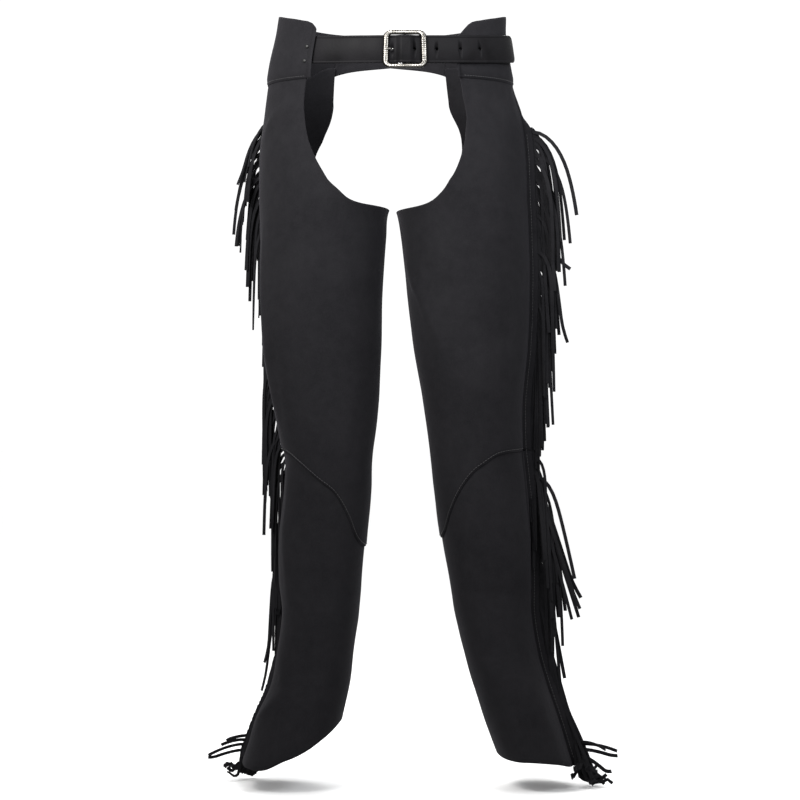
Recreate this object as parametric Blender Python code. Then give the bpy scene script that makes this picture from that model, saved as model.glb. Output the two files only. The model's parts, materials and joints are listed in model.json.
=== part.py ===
"""Fringed suede chaps, worn shape, as separate sewn pieces.

Metres, +Z up, the front faces -Y and the wearer's right leg is on the -X side.
The origin is the centre of the waist, level with the belt at the hips.
"""

import math
import random

import bmesh
import bpy
import numpy as np
from mathutils import Vector

# Driving sizes
LEATHER = 0.0018            # wall of the suede panels
GAP = 0.0003                # air between pieces that lie on each other
BELOW_SEAM = 0.006          # a row of the shin panel lies this far below the knee seam
SHIN_EASE = 0.4             # share of the shin over which it comes out from under the thigh
SIDE_BUTT = 0.0008          # the shin panel stops this far below the thigh's at the outseam
LAP = 0.012                 # how far one panel runs under the next
CURVE_POWER = 2.25          # 2 is an ellipse, more is squarer
SEAM_FIN = 0.012            # the outseam stands out this far from the leg
KNEE_SEAM_SIDE = -0.562     # height of the knee seam at the outseam
FLAT_BESIDE_SEAM = 0.042    # folds die out this near to the knee seam
FOLD_FADE = 0.03            # and come back over this much more
FLOOR = -1.028              # the wearer's floor, which the fringe stays above

STRAP_WIDTH = 0.038
STRAP_THICK = 0.003
FOLD_THICK = 0.0018         # the buckle's own strap is thinned for its fold
BELT_TILT = 0.11            # the belt climbs this much for each metre to the back
HOLES_X = (-0.0056, 0.0242, 0.0538, 0.0854, 0.1111)
HOLE_RADIUS = 0.0023

BUCKLE_X = 0.0114
BUCKLE_WIDTH = 0.059
BUCKLE_HEIGHT = 0.053
BUCKLE_SIDE_BAR = 0.0085
BUCKLE_RAIL = 0.006
BUCKLE_THICK = 0.005
BUCKLE_CORNER = 0.011
BUCKLE_WINDOW_CORNER = 0.0035
BAR_RADIUS = 0.0013
PRONG_RADIUS = 0.0011
RIVET_RADIUS = 0.0027
RIVET_HEIGHT = 0.0017
RIVET_DOME = ((1.0, 0.0), (0.75, 0.7), (0.3, 1.0))   # shares of its radius and height
RIVETS = ((-0.1200, -0.0066), (-0.1236, -0.0262))    # X and Z

STRAND_WIDTH = 0.0038
STRAND_THICK = 0.0018
STRAND_LENGTH = 0.155
STRAND_PITCH = 0.0086
FRINGE_TOP = -0.104         # height at which the fringe starts
STRIP_INNER = 0.0050        # its strip starts this far out from the leg
STRIP_OUTER = SEAM_FIN + 0.003
ROOT_RUN = 0.009            # a strand's first bend lies this far out of the strip
LANES = (-43.0, 0.0, 40.0, -19.0, 19.0)     # degrees that strands turn to the front, in turn
TIP_CLEARANCE = 0.007       # the lowest tips stay this far above the floor
TIP_LAYER = 0.0068          # and each layer above them this much more
SPLAY = 0.35                # what the floor takes of a strand's drop leans it out
SPLAY_LIMIT = 0.026
STRAND_CLEARANCE = 0.0045   # a strand that would come nearer to another is left out
HANG_SPREAD = (-0.03, -0.015, 0.0, 0.015, 0.03)

# The seam fin: two edges of the panel turned out, with the fringe between them
FIN_FACE = LEATHER + 2 * GAP + STRAND_THICK / 2
FIN_PART_TOP = -0.045       # its edges start to part here, and are parted at the next
FIN_PART_END = -0.087
FIN_RISE_END = -0.1155      # from here down it has its whole width

# How finely the panels are built
UNDER_YOKE_STEP = 12.0      # degrees from column to column under the yoke
EDGE_COLUMNS = 3            # columns that start on the upright part of the opening
SWEEP_COLUMNS = 8           # columns that start on its curve down to the crotch
EDGE_FOOT_ANGLE = 50.0      # where those columns end at the knee
SEAT_ANGLE = 64.0           # the seat's cut-out starts this far round the back
SEAM_MARGIN = 6.0           # degrees from the outseam to the first free column
SEAM_TURN_REACH = 60.0      # columns this near the outseam turn along with it
OVER_YOKE_BOTTOM = -0.045   # panel columns that start above this also run up the yoke
ROW_POWER = 1.15            # above 1 the thigh's rows lie closer at its top
THIGH_ROWS = 16
SHIN_ROWS = 10
YOKE_ROWS = 5
YOKE_BACK_COLUMNS = 5
HOLE_SIDES = 8
PRONG_SIDES = 6
BAR_SIDES = 8
RIVET_SIDES = 8
CORNER_STEPS = 3
CURVE_STEPS = 12            # steps between the points of a resampled edge
DEGREE_LENGTH = 0.0016      # length of a degree round the hips

WAIST = -0.012              # height at which places along the waist are named by their X

# How far out from the thigh panels' face each layer at the waist lies, one on the other
YOKE_FACE = LEATHER + 5 * GAP
UNDER_YOKE = YOKE_FACE - LEATHER - 6 * GAP
OVER_YOKE = YOKE_FACE + 2 * GAP
FLAT_OUT = OVER_YOKE + STRAP_THICK / 2
FRAME_OUT = OVER_YOKE + STRAP_THICK + GAP + BUCKLE_THICK / 2
BAR_OUT = FRAME_OUT - 0.0040       # the bar lies this much behind the frame's middle
HUMP_OUT = BAR_OUT + BAR_RADIUS + 2 * PRONG_RADIUS + 2 * GAP + STRAP_THICK / 2
FOLD_RADIUS = BAR_RADIUS + GAP + FOLD_THICK / 2
PRONG_BEND = BAR_RADIUS + GAP + PRONG_RADIUS
FRAME_TOP = FRAME_OUT + BUCKLE_THICK / 2 + GAP + PRONG_RADIUS

# The billet's middle line: X from the buckle's middle, and how far out
BILLET_ROUTE = (
    (-0.200, UNDER_YOKE - STRAP_THICK / 2),
    (-0.107, UNDER_YOKE - STRAP_THICK / 2),
    (-0.056, FLAT_OUT - 0.002),
    (-0.034, FLAT_OUT),
    (-0.0135, FLAT_OUT),
    (-0.0040, HUMP_OUT),
    (0.0045, HUMP_OUT),
    (0.0165, FLAT_OUT),
    (0.034, FLAT_OUT),
    (0.118, FLAT_OUT),
    (0.142, FLAT_OUT + 0.0035),
)
BILLET_START_X = -0.138
BILLET_TIP_ANGLE = 177.0
BILLET_STEPS = (8, 16, 16)  # up to the buckle, through it, and on to the tip
BUCKLE_ZONE = 0.023         # the middle one reaches this far either side

# The buckle's strap round the bar: X from the buckle's middle, and how far out.
# It comes from under the left yoke, and its turned end lies on itself.
FOLD_BACK = (
    (0.130, UNDER_YOKE - FOLD_THICK / 2),
    (0.100, UNDER_YOKE - FOLD_THICK / 2),
    (0.073, UNDER_YOKE - FOLD_THICK / 2),
    (0.050, 0.0),
    (0.017, 0.0),
    (0.0105, 0.0010),
    (0.0045, BAR_OUT - FOLD_RADIUS - 0.0002),
)
FOLD_FRONT = (
    (0.0035, BAR_OUT + FOLD_RADIUS - 0.0002),
    (0.0095, 0.0046),
    (0.0160, FLAT_OUT - 0.0030),
    (0.042, FLAT_OUT - 0.0030),
)

# The prong's middle line after its loop, in the same terms
PRONG_ROUTE = (
    (-0.0150, OVER_YOKE - 0.0017),
    (-0.0168, OVER_YOKE + 0.0003),
    (-0.0174, OVER_YOKE + STRAP_THICK),
    (-0.0186, FRAME_TOP - 0.0016),
    (-0.0206, FRAME_TOP),
    (-0.0254, FRAME_TOP),
)

# Sections of each leg: height, outermost and innermost X, front and back Y,
# and where the outseam lies, in degrees from the outer side toward the front.
# Above the crotch the innermost X is the other side of the hips.
SECTION_COLUMNS = ("z", "outer", "inner", "front", "back", "seam")
RIGHT_SECTIONS = (
    (0.060, -0.158, 0.150, -0.112, 0.113, -42),
    (0.043, -0.161, 0.151, -0.114, 0.115, -42),
    (0.018, -0.165, 0.151, -0.117, 0.118, -42),
    (-0.021, -0.174, 0.157, -0.120, 0.123, -42),
    (-0.060, -0.180, 0.165, -0.122, 0.130, -42),
    (-0.075, -0.182, 0.169, -0.123, 0.134, -42),
    (-0.100, -0.185, 0.150, -0.123, 0.139, -42),
    (-0.141, -0.191, 0.085, -0.122, 0.143, -42),
    (-0.180, -0.192, 0.035, -0.120, 0.140, -42),
    (-0.212, -0.192, 0.000, -0.117, 0.133, -42),
    (-0.230, -0.191, -0.011, -0.115, 0.127, -42),
    (-0.265, -0.190, -0.014, -0.112, 0.118, -42),
    (-0.344, -0.189, -0.0185, -0.106, 0.102, -42),
    (-0.428, -0.184, -0.0205, -0.099, 0.086, -42),
    (-0.512, -0.169, -0.0245, -0.092, 0.071, -42),
    (-0.575, -0.157, -0.032, -0.088, 0.067, -42),
    (-0.617, -0.158, -0.034, -0.083, 0.072, -42),
    (-0.680, -0.164, -0.040, -0.074, 0.085, -42),
    (-0.743, -0.164, -0.0465, -0.068, 0.091, -42),
    (-0.790, -0.160, -0.052, -0.066, 0.089, -41),
    (-0.841, -0.166, -0.059, -0.068, 0.086, -39),
    (-0.885, -0.174, -0.064, -0.077, 0.087, -36),
    (-0.939, -0.196, -0.076, -0.100, 0.091, -32),
    (-1.010, -0.219, -0.090, -0.122, 0.096, -27),
)
LEFT_SECTIONS = (
    (0.060, 0.150, -0.158, -0.112, 0.113, 6),
    (0.043, 0.151, -0.161, -0.114, 0.115, 6),
    (0.018, 0.151, -0.165, -0.117, 0.118, 6),
    (-0.021, 0.157, -0.174, -0.120, 0.123, 6),
    (-0.060, 0.165, -0.180, -0.122, 0.130, 6),
    (-0.075, 0.169, -0.182, -0.123, 0.134, 6),
    (-0.100, 0.176, -0.155, -0.123, 0.139, 6),
    (-0.141, 0.181, -0.085, -0.122, 0.143, 6),
    (-0.180, 0.183, -0.040, -0.120, 0.140, 6),
    (-0.212, 0.184, -0.009, -0.117, 0.133, 6),
    (-0.230, 0.185, 0.001, -0.115, 0.127, 6),
    (-0.265, 0.186, 0.007, -0.112, 0.118, 6),
    (-0.344, 0.186, 0.0155, -0.106, 0.102, 5),
    (-0.428, 0.183, 0.0265, -0.099, 0.086, 1),
    (-0.491, 0.1765, 0.038, -0.094, 0.074, -2),
    (-0.554, 0.177, 0.046, -0.089, 0.067, -2),
    (-0.617, 0.183, 0.053, -0.083, 0.072, 0),
    (-0.680, 0.188, 0.061, -0.074, 0.085, 2),
    (-0.743, 0.189, 0.073, -0.068, 0.091, 3),
    (-0.790, 0.189, 0.082, -0.066, 0.089, 3),
    (-0.848, 0.199, 0.0965, -0.068, 0.086, 3),
    (-0.885, 0.210, 0.107, -0.077, 0.087, 3),
    (-0.939, 0.228, 0.125, -0.100, 0.091, 3),
    (-1.010, 0.250, 0.152, -0.122, 0.096, 3),
)

# Cut edge of the front opening, from the yoke down to the crotch: X and Z
RIGHT_OPENING = (
    (-0.116, -0.033),
    (-0.124, -0.056),
    (-0.1255, -0.084),
    (-0.124, -0.114),
    (-0.117, -0.145),
    (-0.102, -0.175),
    (-0.079, -0.203),
    (-0.049, -0.221),
)
LEFT_OPENING = (
    (0.0845, -0.035),
    (0.0915, -0.070),
    (0.097, -0.103),
    (0.0955, -0.126),
    (0.093, -0.144),
    (0.0805, -0.179),
    (0.062, -0.207),
    (0.034, -0.224),
)

# Heights against the angle from the outer side: angle and Z. The knee and hem are
# the same round the back, and the yokes count their back as negative.
RIGHT_KNEE = (
    (0, -0.562), (30, -0.564), (52, -0.577), (82, -0.602), (101, -0.622),
    (120, -0.651), (139, -0.682), (160, -0.694), (180, -0.696),
)
LEFT_KNEE = (
    (0, -0.562), (40, -0.563), (66, -0.567), (82, -0.577), (97, -0.592),
    (115, -0.616), (133, -0.645), (148, -0.670), (165, -0.682), (180, -0.684),
)
RIGHT_HEM = (
    (0, -0.994), (35, -0.998), (65, -0.997), (88, -0.984), (108, -0.972),
    (128, -0.957), (155, -0.941), (180, -0.934),
)
LEFT_HEM = (
    (0, -1.000), (30, -0.996), (60, -0.990), (90, -0.987), (120, -0.987),
    (150, -0.985), (180, -0.981),
)
YOKE_TOP = (
    (-90, 0.030), (-60, 0.033), (-25, 0.041), (5, 0.0435), (30, 0.036), (42, 0.031),
    (49.5, 0.0262), (58, 0.007), (62, 0.004),
)
YOKE_BOTTOM = (
    (-90, -0.014), (-70, -0.022), (-45, -0.045), (-20, -0.052), (60, -0.050),
)

# Broad folds of the worn leather: leg, angle_1, z_1, angle_2, z_2 for their two
# ends, how far they stand out and how wide they are
FOLDS = (
    ("right", 20, -0.115, 62, -0.080, 0.0030, 0.022),
    ("right", 35, -0.250, 25, -0.500, 0.0035, 0.026),
    ("right", 70, -0.900, 20, -0.935, 0.0060, 0.024),
    ("right", 100, -0.820, 60, -0.865, -0.0050, 0.026),
    ("right", 215, -0.560, 300, -0.585, -0.0060, 0.028),
    ("right", 225, -0.240, 300, -0.215, -0.0050, 0.026),
    ("right", 250, -0.840, 320, -0.875, 0.0050, 0.026),
    ("left", 150, -0.305, 112, -0.425, 0.0045, 0.024),
    ("left", 70, -0.470, 118, -0.455, 0.0035, 0.030),
    ("left", 60, -0.915, 110, -0.880, 0.0060, 0.026),
    ("left", 40, -0.765, 105, -0.765, -0.0030, 0.018),
    ("left", 220, -0.575, 300, -0.560, -0.0060, 0.028),
    ("left", 230, -0.235, 300, -0.220, -0.0050, 0.026),
    ("left", 245, -0.860, 320, -0.885, 0.0050, 0.026),
)


class Leg:
    """The tables of one leg."""

    def __init__(self, name, side, sections, opening, knee, hem, droop, hang):
        self.name = name
        self.side = side
        self.sections = sections
        self.opening = opening
        self.knee = knee
        self.hem = hem
        self.droop = droop
        self.hang = hang


# The last values are how far the fringe leans out for each metre that it hangs,
# and how many degrees behind the side it points
RIGHT = Leg("right", -1, RIGHT_SECTIONS, RIGHT_OPENING, RIGHT_KNEE, RIGHT_HEM, 0.25, 40.0)
LEFT = Leg("left", 1, LEFT_SECTIONS, LEFT_OPENING, LEFT_KNEE, LEFT_HEM, 0.25, -2.0)


def clear_scene():
    for old in list(bpy.data.objects):
        bpy.data.objects.remove(old, do_unlink=True)


def material(name, colour, roughness, metallic=0.0):
    made = bpy.data.materials.new(name)
    made.use_nodes = True
    shader = made.node_tree.nodes["Principled BSDF"]
    shader.inputs["Base Color"].default_value = (*colour, 1.0)
    shader.inputs["Roughness"].default_value = roughness
    shader.inputs["Metallic"].default_value = metallic
    return made


def lerp(a, b, t):
    return a + (b - a) * t


def ease(t):
    t = min(max(t, 0.0), 1.0)
    return t * t * (3.0 - 2.0 * t)


def smooth_row(rows, key, column):
    """One column of a table at a key in its first column, on a smooth curve."""
    keys = [row[0] for row in rows]
    if keys[0] > keys[-1]:
        rows = rows[::-1]
        keys = keys[::-1]
    values = [row[column] for row in rows]
    if key <= keys[0]:
        return values[0]
    if key >= keys[-1]:
        return values[-1]
    i = max(n for n in range(len(keys) - 1) if keys[n] <= key)

    def slope(n):
        low = max(n - 1, 0)
        high = min(n + 1, len(keys) - 1)
        return (values[high] - values[low]) / (keys[high] - keys[low])

    step = keys[i + 1] - keys[i]
    t = (key - keys[i]) / step
    rise = values[i] * (1 + 2 * t) * (1 - t) ** 2 + values[i + 1] * t * t * (3 - 2 * t)
    return rise + step * (slope(i) * t * (1 - t) ** 2 + slope(i + 1) * t * t * (t - 1))


def section(leg, z):
    values = [smooth_row(leg.sections, z, n) for n in range(1, len(SECTION_COLUMNS))]
    return dict(zip(SECTION_COLUMNS[1:], values))


def folded_angle(angle):
    """An angle round the leg as 0 to 180, the back like the front."""
    angle = angle % 360.0
    return 360.0 - angle if angle > 180.0 else angle


def signed_power(value, power):
    return math.copysign(abs(value) ** power, value)


def fold_height(leg, angle, z, girth):
    """How far the broad folds push the surface out at a place."""
    total = 0.0
    for name, angle_1, z_1, angle_2, z_2, height, width in FOLDS:
        if name != leg.name:
            continue
        along = girth / 360.0
        turn = (angle - angle_1 + 180.0) % 360.0 - 180.0
        place = Vector((turn * along, z - z_1))
        run = Vector(((angle_2 - angle_1) * along, z_2 - z_1))
        t = min(max(place.dot(run) / run.length_squared, 0.0), 1.0)
        away = (place - run * t).length / width
        total += height * math.exp(-away * away) * (0.55 + 0.45 * math.sin(math.pi * t))
    knee = smooth_row(leg.knee, folded_angle(angle), 1)
    return total * ease((abs(z - knee) - FLAT_BESIDE_SEAM) / FOLD_FADE)


def surface(leg, angle, z, out=0.0):
    """A point of the worn leather's outer face, with its normal in the level plane."""
    row = section(leg, z)
    centre_x = (row["outer"] + row["inner"]) / 2
    centre_y = (row["front"] + row["back"]) / 2
    half_x = abs(row["outer"] - row["inner"]) / 2
    half_y = (row["back"] - row["front"]) / 2
    turn = math.radians(angle)
    across = signed_power(math.cos(turn), 2 / CURVE_POWER)
    forward = signed_power(math.sin(turn), 2 / CURVE_POWER)
    normal = Vector((
        leg.side * signed_power(across, CURVE_POWER - 1) / half_x,
        -signed_power(forward, CURVE_POWER - 1) / half_y,
        0.0,
    )).normalized()
    point = Vector((centre_x + leg.side * half_x * across, centre_y - half_y * forward, z))
    girth = math.pi * (half_x + half_y)
    return point + normal * (out + fold_height(leg, angle, z, girth)), normal


def angle_of_x(leg, x, z):
    """The angle at which the front of the leg has this X."""
    row = section(leg, z)
    centre = (row["outer"] + row["inner"]) / 2
    half = abs(row["outer"] - row["inner"]) / 2
    share = min(max(leg.side * (x - centre) / half, -1.0), 1.0)
    return math.degrees(math.acos(signed_power(share, CURVE_POWER / 2)))


def seam_frame(leg, z):
    """The outseam's point, its outward direction and the direction to the front."""
    point, normal = surface(leg, section(leg, z)["seam"], z)
    forward = Vector((normal.y, -normal.x, 0.0)) * leg.side
    return point, normal, forward


def fin_point(leg, z, layer, column):
    """A point of the outseam: layer 1 in front or -1 behind, column 0 at the edge."""
    point, normal, forward = seam_frame(leg, z)
    parted = ease((FIN_PART_TOP - z) / (FIN_PART_TOP - FIN_PART_END))
    risen = ease((FIN_PART_END - z) / (FIN_PART_END - FIN_RISE_END))
    if column == 0:
        side = lerp(2 * GAP, FIN_FACE, parted)
        out = SEAM_FIN * max(risen, 0.2 * parted)
    else:
        side = lerp(FIN_FACE + 0.0025, FIN_FACE, max(risen, 0.7 * parted))
        out = 0.0008 * risen
    return point + normal * out + forward * (side * layer)


def resample(points, count):
    """Points evenly spaced along a curve of angle and height, on a smooth line."""
    flat = [Vector((angle * DEGREE_LENGTH, z)) for angle, z in points]
    dense = []
    for i in range(len(flat) - 1):
        before = flat[max(i - 1, 0)]
        after = flat[min(i + 2, len(flat) - 1)]
        start = (flat[i + 1] - before) / 2
        end = (after - flat[i]) / 2
        for n in range(CURVE_STEPS):
            t = n / CURVE_STEPS
            dense.append(
                flat[i] * (1 + 2 * t) * (1 - t) ** 2 + flat[i + 1] * t * t * (3 - 2 * t)
                + start * t * (1 - t) ** 2 + end * t * t * (t - 1)
            )
    dense.append(flat[-1])
    length = [0.0]
    for a, b in zip(dense, dense[1:]):
        length.append(length[-1] + (b - a).length)
    result = []
    for n in range(count + 1):
        want = length[-1] * n / count
        i = max(k for k in range(len(length)) if length[k] <= want + 1e-9)
        i = min(i, len(dense) - 2)
        t = (want - length[i]) / (length[i + 1] - length[i])
        spot = dense[i].lerp(dense[i + 1], t)
        result.append((spot.x / DEGREE_LENGTH, spot.y))
    return result


def half_columns(leg, seam, way):
    """Columns of one half of a thigh, from the outseam to the inner leg.

    Each is the angle and height at its top, and its angle at the knee.
    way is 1 for the front half and -1 for the back half.
    """
    rows = leg.opening
    least = 0.0 if way > 0 else SEAT_ANGLE
    edge = [(max(angle_of_x(leg, x, z), least), z) for x, z in rows]
    edge.append((180.0, rows[-1][1] - 0.0045))
    corner = edge[0][0]
    corner_z = max(edge[0][1], smooth_row(YOKE_BOTTOM, corner * way, 1) + LAP)
    edge[0] = (corner, corner_z)
    start = seam + SEAM_MARGIN if way > 0 else -seam + SEAM_MARGIN
    edge_foot = EDGE_FOOT_ANGLE if way > 0 else SEAT_ANGLE - 4.0
    foot_mid = lerp(start, edge_foot, 0.55)
    count = max(2, round((corner - start) / UNDER_YOKE_STEP))
    columns = []
    for i in range(count):
        t = i / count
        angle = lerp(start, corner, t)
        height = smooth_row(YOKE_BOTTOM, angle * way, 1) + LAP
        top = lerp(height, corner_z, ease(t))
        columns.append((angle, top, lerp(start, foot_mid, t)))
    curve = resample(edge, EDGE_COLUMNS + SWEEP_COLUMNS)
    for i, (angle, z) in enumerate(curve):
        if i <= EDGE_COLUMNS:
            foot = lerp(foot_mid, edge_foot, i / EDGE_COLUMNS)
        else:
            foot = lerp(edge_foot, 180.0, (i - EDGE_COLUMNS) / SWEEP_COLUMNS)
        columns.append((angle, z, foot))
    return columns


def leg_columns(leg):
    """All columns round a thigh, front outseam to back outseam, in true angles."""
    seam = section(leg, KNEE_SEAM_SIDE)["seam"]
    front = half_columns(leg, seam, 1)
    back = half_columns(leg, seam, -1)
    turned = [(360.0 - top, z, 360.0 - foot) for top, z, foot in back[:-1]]
    return front + turned[::-1]


def seam_turn(leg, z, angle, foot_seam):
    """Carries a column along with the outseam where that turns round the leg."""
    turn = section(leg, z)["seam"] - foot_seam
    away = min(abs(angle - foot_seam), abs(angle - foot_seam - 360.0))
    near = 1.0 - ease(away / SEAM_TURN_REACH)
    return angle + turn * near


def thigh_rows(leg):
    """The thigh panel's outer face, a row of points for each height."""
    columns = leg_columns(leg)
    seam = section(leg, KNEE_SEAM_SIDE)["seam"]
    seam_top = smooth_row(YOKE_BOTTOM, seam, 1) + LAP
    rows = []
    for n in range(THIGH_ROWS + 1):
        v = n / THIGH_ROWS
        down = v ** ROW_POWER
        turn_share = 1.0 - (1.0 - v) ** 2
        z_seam = lerp(seam_top, KNEE_SEAM_SIDE, down)
        row = [fin_point(leg, z_seam, 1, 0), fin_point(leg, z_seam, 1, 1)]
        for top_angle, top_z, foot_angle in columns:
            foot_z = smooth_row(leg.knee, folded_angle(foot_angle), 1)
            z = lerp(top_z, foot_z, down)
            angle = lerp(top_angle, foot_angle, turn_share)
            angle = seam_turn(leg, z, angle, seam)
            row.append(surface(leg, angle, z)[0])
        row += [fin_point(leg, z_seam, -1, 1), fin_point(leg, z_seam, -1, 0)]
        rows.append(row)
    return rows


def shin_rows(leg):
    """The shin panel's outer face, which starts under the thigh panel's edge."""
    columns = leg_columns(leg)
    seam = section(leg, KNEE_SEAM_SIDE)["seam"]
    hem_side = smooth_row(leg.hem, 0, 1)
    top_side = KNEE_SEAM_SIDE - SIDE_BUTT
    under = -(LEATHER + 3 * GAP)
    thigh = thigh_rows(leg)
    rows = []
    for n in range(SHIN_ROWS + 1):
        v = max(n - 1, 0) / (SHIN_ROWS - 1)
        z_seam = lerp(top_side, hem_side, n / SHIN_ROWS)
        row = [fin_point(leg, z_seam, 1, 0), fin_point(leg, z_seam, 1, 1)]
        for i, (_, _, foot_angle) in enumerate(columns):
            from_seam = min(i, len(columns) - 1 - i)
            knee = smooth_row(leg.knee, folded_angle(foot_angle), 1)
            foot = smooth_row(leg.hem, folded_angle(foot_angle), 1)
            out = under * (1.0 - ease(v / SHIN_EASE)) if from_seam > 0 else 0.0
            z = lerp(knee - BELOW_SEAM, foot, v)
            angle = seam_turn(leg, z, foot_angle, seam)
            point, normal = surface(leg, angle, z, out)
            if n == 0 and from_seam > 1:
                edge, above = thigh[-1][i + 2], thigh[-2][i + 2]
                point = edge.lerp(above, LAP / (above.z - edge.z)) + normal * out
            elif n == 0:
                point = surface(leg, angle, knee - SIDE_BUTT, out)[0]
            row.append(point)
        row += [fin_point(leg, z_seam, -1, 1), fin_point(leg, z_seam, -1, 0)]
        rows.append(row)
    return rows


def yoke_rows(leg):
    """A yoke's outer face, from its front edge round the side to the centre back."""
    seam = section(leg, KNEE_SEAM_SIDE)["seam"]
    front = [c for c in half_columns(leg, seam, 1) if c[1] > OVER_YOKE_BOTTOM]
    back = [c for c in half_columns(leg, seam, -1) if c[1] > OVER_YOKE_BOTTOM][:-1]
    angles = [c[0] for c in front[::-1]] + [seam] + [-c[0] for c in back]
    last = angles[-1]
    for i in range(1, YOKE_BACK_COLUMNS + 1):
        angles.append(lerp(last, -90.0, i / YOKE_BACK_COLUMNS))
    rows = []
    for n in range(YOKE_ROWS + 1):
        v = n / YOKE_ROWS
        row = []
        for i, angle in enumerate(angles):
            z = lerp(smooth_row(YOKE_TOP, angle, 1), smooth_row(YOKE_BOTTOM, angle, 1), v)
            point = surface(leg, angle, z, YOKE_FACE)[0]
            if i == len(angles) - 1:
                centre = (section(leg, z)["outer"] + section(leg, z)["inner"]) / 2
                point.x = centre + leg.side * GAP / 2
            row.append(point)
        rows.append(row)
    return rows


def link(name, mesh, look):
    if look is not None:
        mesh.materials.append(look)
    made = bpy.data.objects.new(name, mesh)
    bpy.context.scene.collection.objects.link(made)
    return made


def sheet(name, rows, look, flip):
    """A panel: its outer face from rows of points, with a wall inside it."""
    shape = bmesh.new()
    grid = [[shape.verts.new(point) for point in row] for row in rows]
    for upper, lower in zip(grid, grid[1:]):
        for i in range(len(upper) - 1):
            corners = [upper[i], lower[i], lower[i + 1], upper[i + 1]]
            shape.faces.new(corners[::-1] if flip else corners)
    mesh = bpy.data.meshes.new(name)
    shape.to_mesh(mesh)
    shape.free()
    mesh.shade_smooth()
    made = link(name, mesh, look)
    wall = made.modifiers.new("wall", "SOLIDIFY")
    wall.thickness = LEATHER
    wall.offset = -1.0


def seam_heights(leg):
    """The panels' rows at the outseam, so that the fringe follows the same line."""
    seam = section(leg, KNEE_SEAM_SIDE)["seam"]
    top = smooth_row(YOKE_BOTTOM, seam, 1) + LAP
    hem = smooth_row(leg.hem, 0, 1)
    shin_top = KNEE_SEAM_SIDE - SIDE_BUTT
    thigh = [lerp(top, KNEE_SEAM_SIDE, (n / THIGH_ROWS) ** ROW_POWER)
             for n in range(THIGH_ROWS + 1)]
    return thigh + [lerp(shin_top, hem, n / SHIN_ROWS) for n in range(SHIN_ROWS + 1)]


def seam_on_panel(leg, heights, z):
    """The outseam's frame at a height, on the straight runs between the panel's rows."""
    low = max(min(z, heights[0]), heights[-1])
    i = max(n for n in range(len(heights) - 1) if heights[n] >= low - 1e-9)
    t = (heights[i] - low) / (heights[i] - heights[i + 1])
    upper = seam_frame(leg, heights[i])
    lower = seam_frame(leg, heights[i + 1])
    point, normal, forward = (a.lerp(b, t) for a, b in zip(upper, lower))
    point.z = z
    return point, normal.normalized(), forward.normalized()


def strand_path(leg, k, from_foot, z_root, seed):
    """A strand's bends: out from the seam, forward along it, and down.

    The lowest strands are cut shorter, so that they end above the floor.
    """
    lane = math.radians(LANES[k % len(LANES)])
    length = STRAND_LENGTH * seed.uniform(0.88, 1.08)
    layer = from_foot // len(LANES)
    room = z_root - FLOOR - TIP_CLEARANCE - TIP_LAYER * layer
    hang = length - ROOT_RUN - STRIP_OUTER / 2
    drop = min(hang, room)
    reach = ROOT_RUN + leg.droop * drop + min((hang - drop) * SPLAY, SPLAY_LIMIT)
    shape = (
        (ROOT_RUN, min(0.005, drop * 0.4)),
        (lerp(ROOT_RUN, reach, 0.42), drop * 0.5),
        (reach, drop),
    )
    path = []
    for out, down in shape:
        path.append((out * math.cos(lane), out * math.sin(lane), down))
    return path


def trail_points(trail):
    """Points close together along a strand."""
    points = []
    for a, b in zip(trail, trail[1:]):
        steps = max(1, round((b - a).length / 0.0025))
        points += [a.lerp(b, n / steps) for n in range(steps)]
    return points + [trail[-1]]


def nearest(course, placed):
    a = np.array(course)
    b = np.array(placed)
    return math.sqrt(((a[:, None, :] - b[None, :, :]) ** 2).sum(axis=2).min())


def strand_frame(direction, thin):
    thin = (thin - direction * thin.dot(direction)).normalized()
    return thin.cross(direction).normalized(), thin


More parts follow.
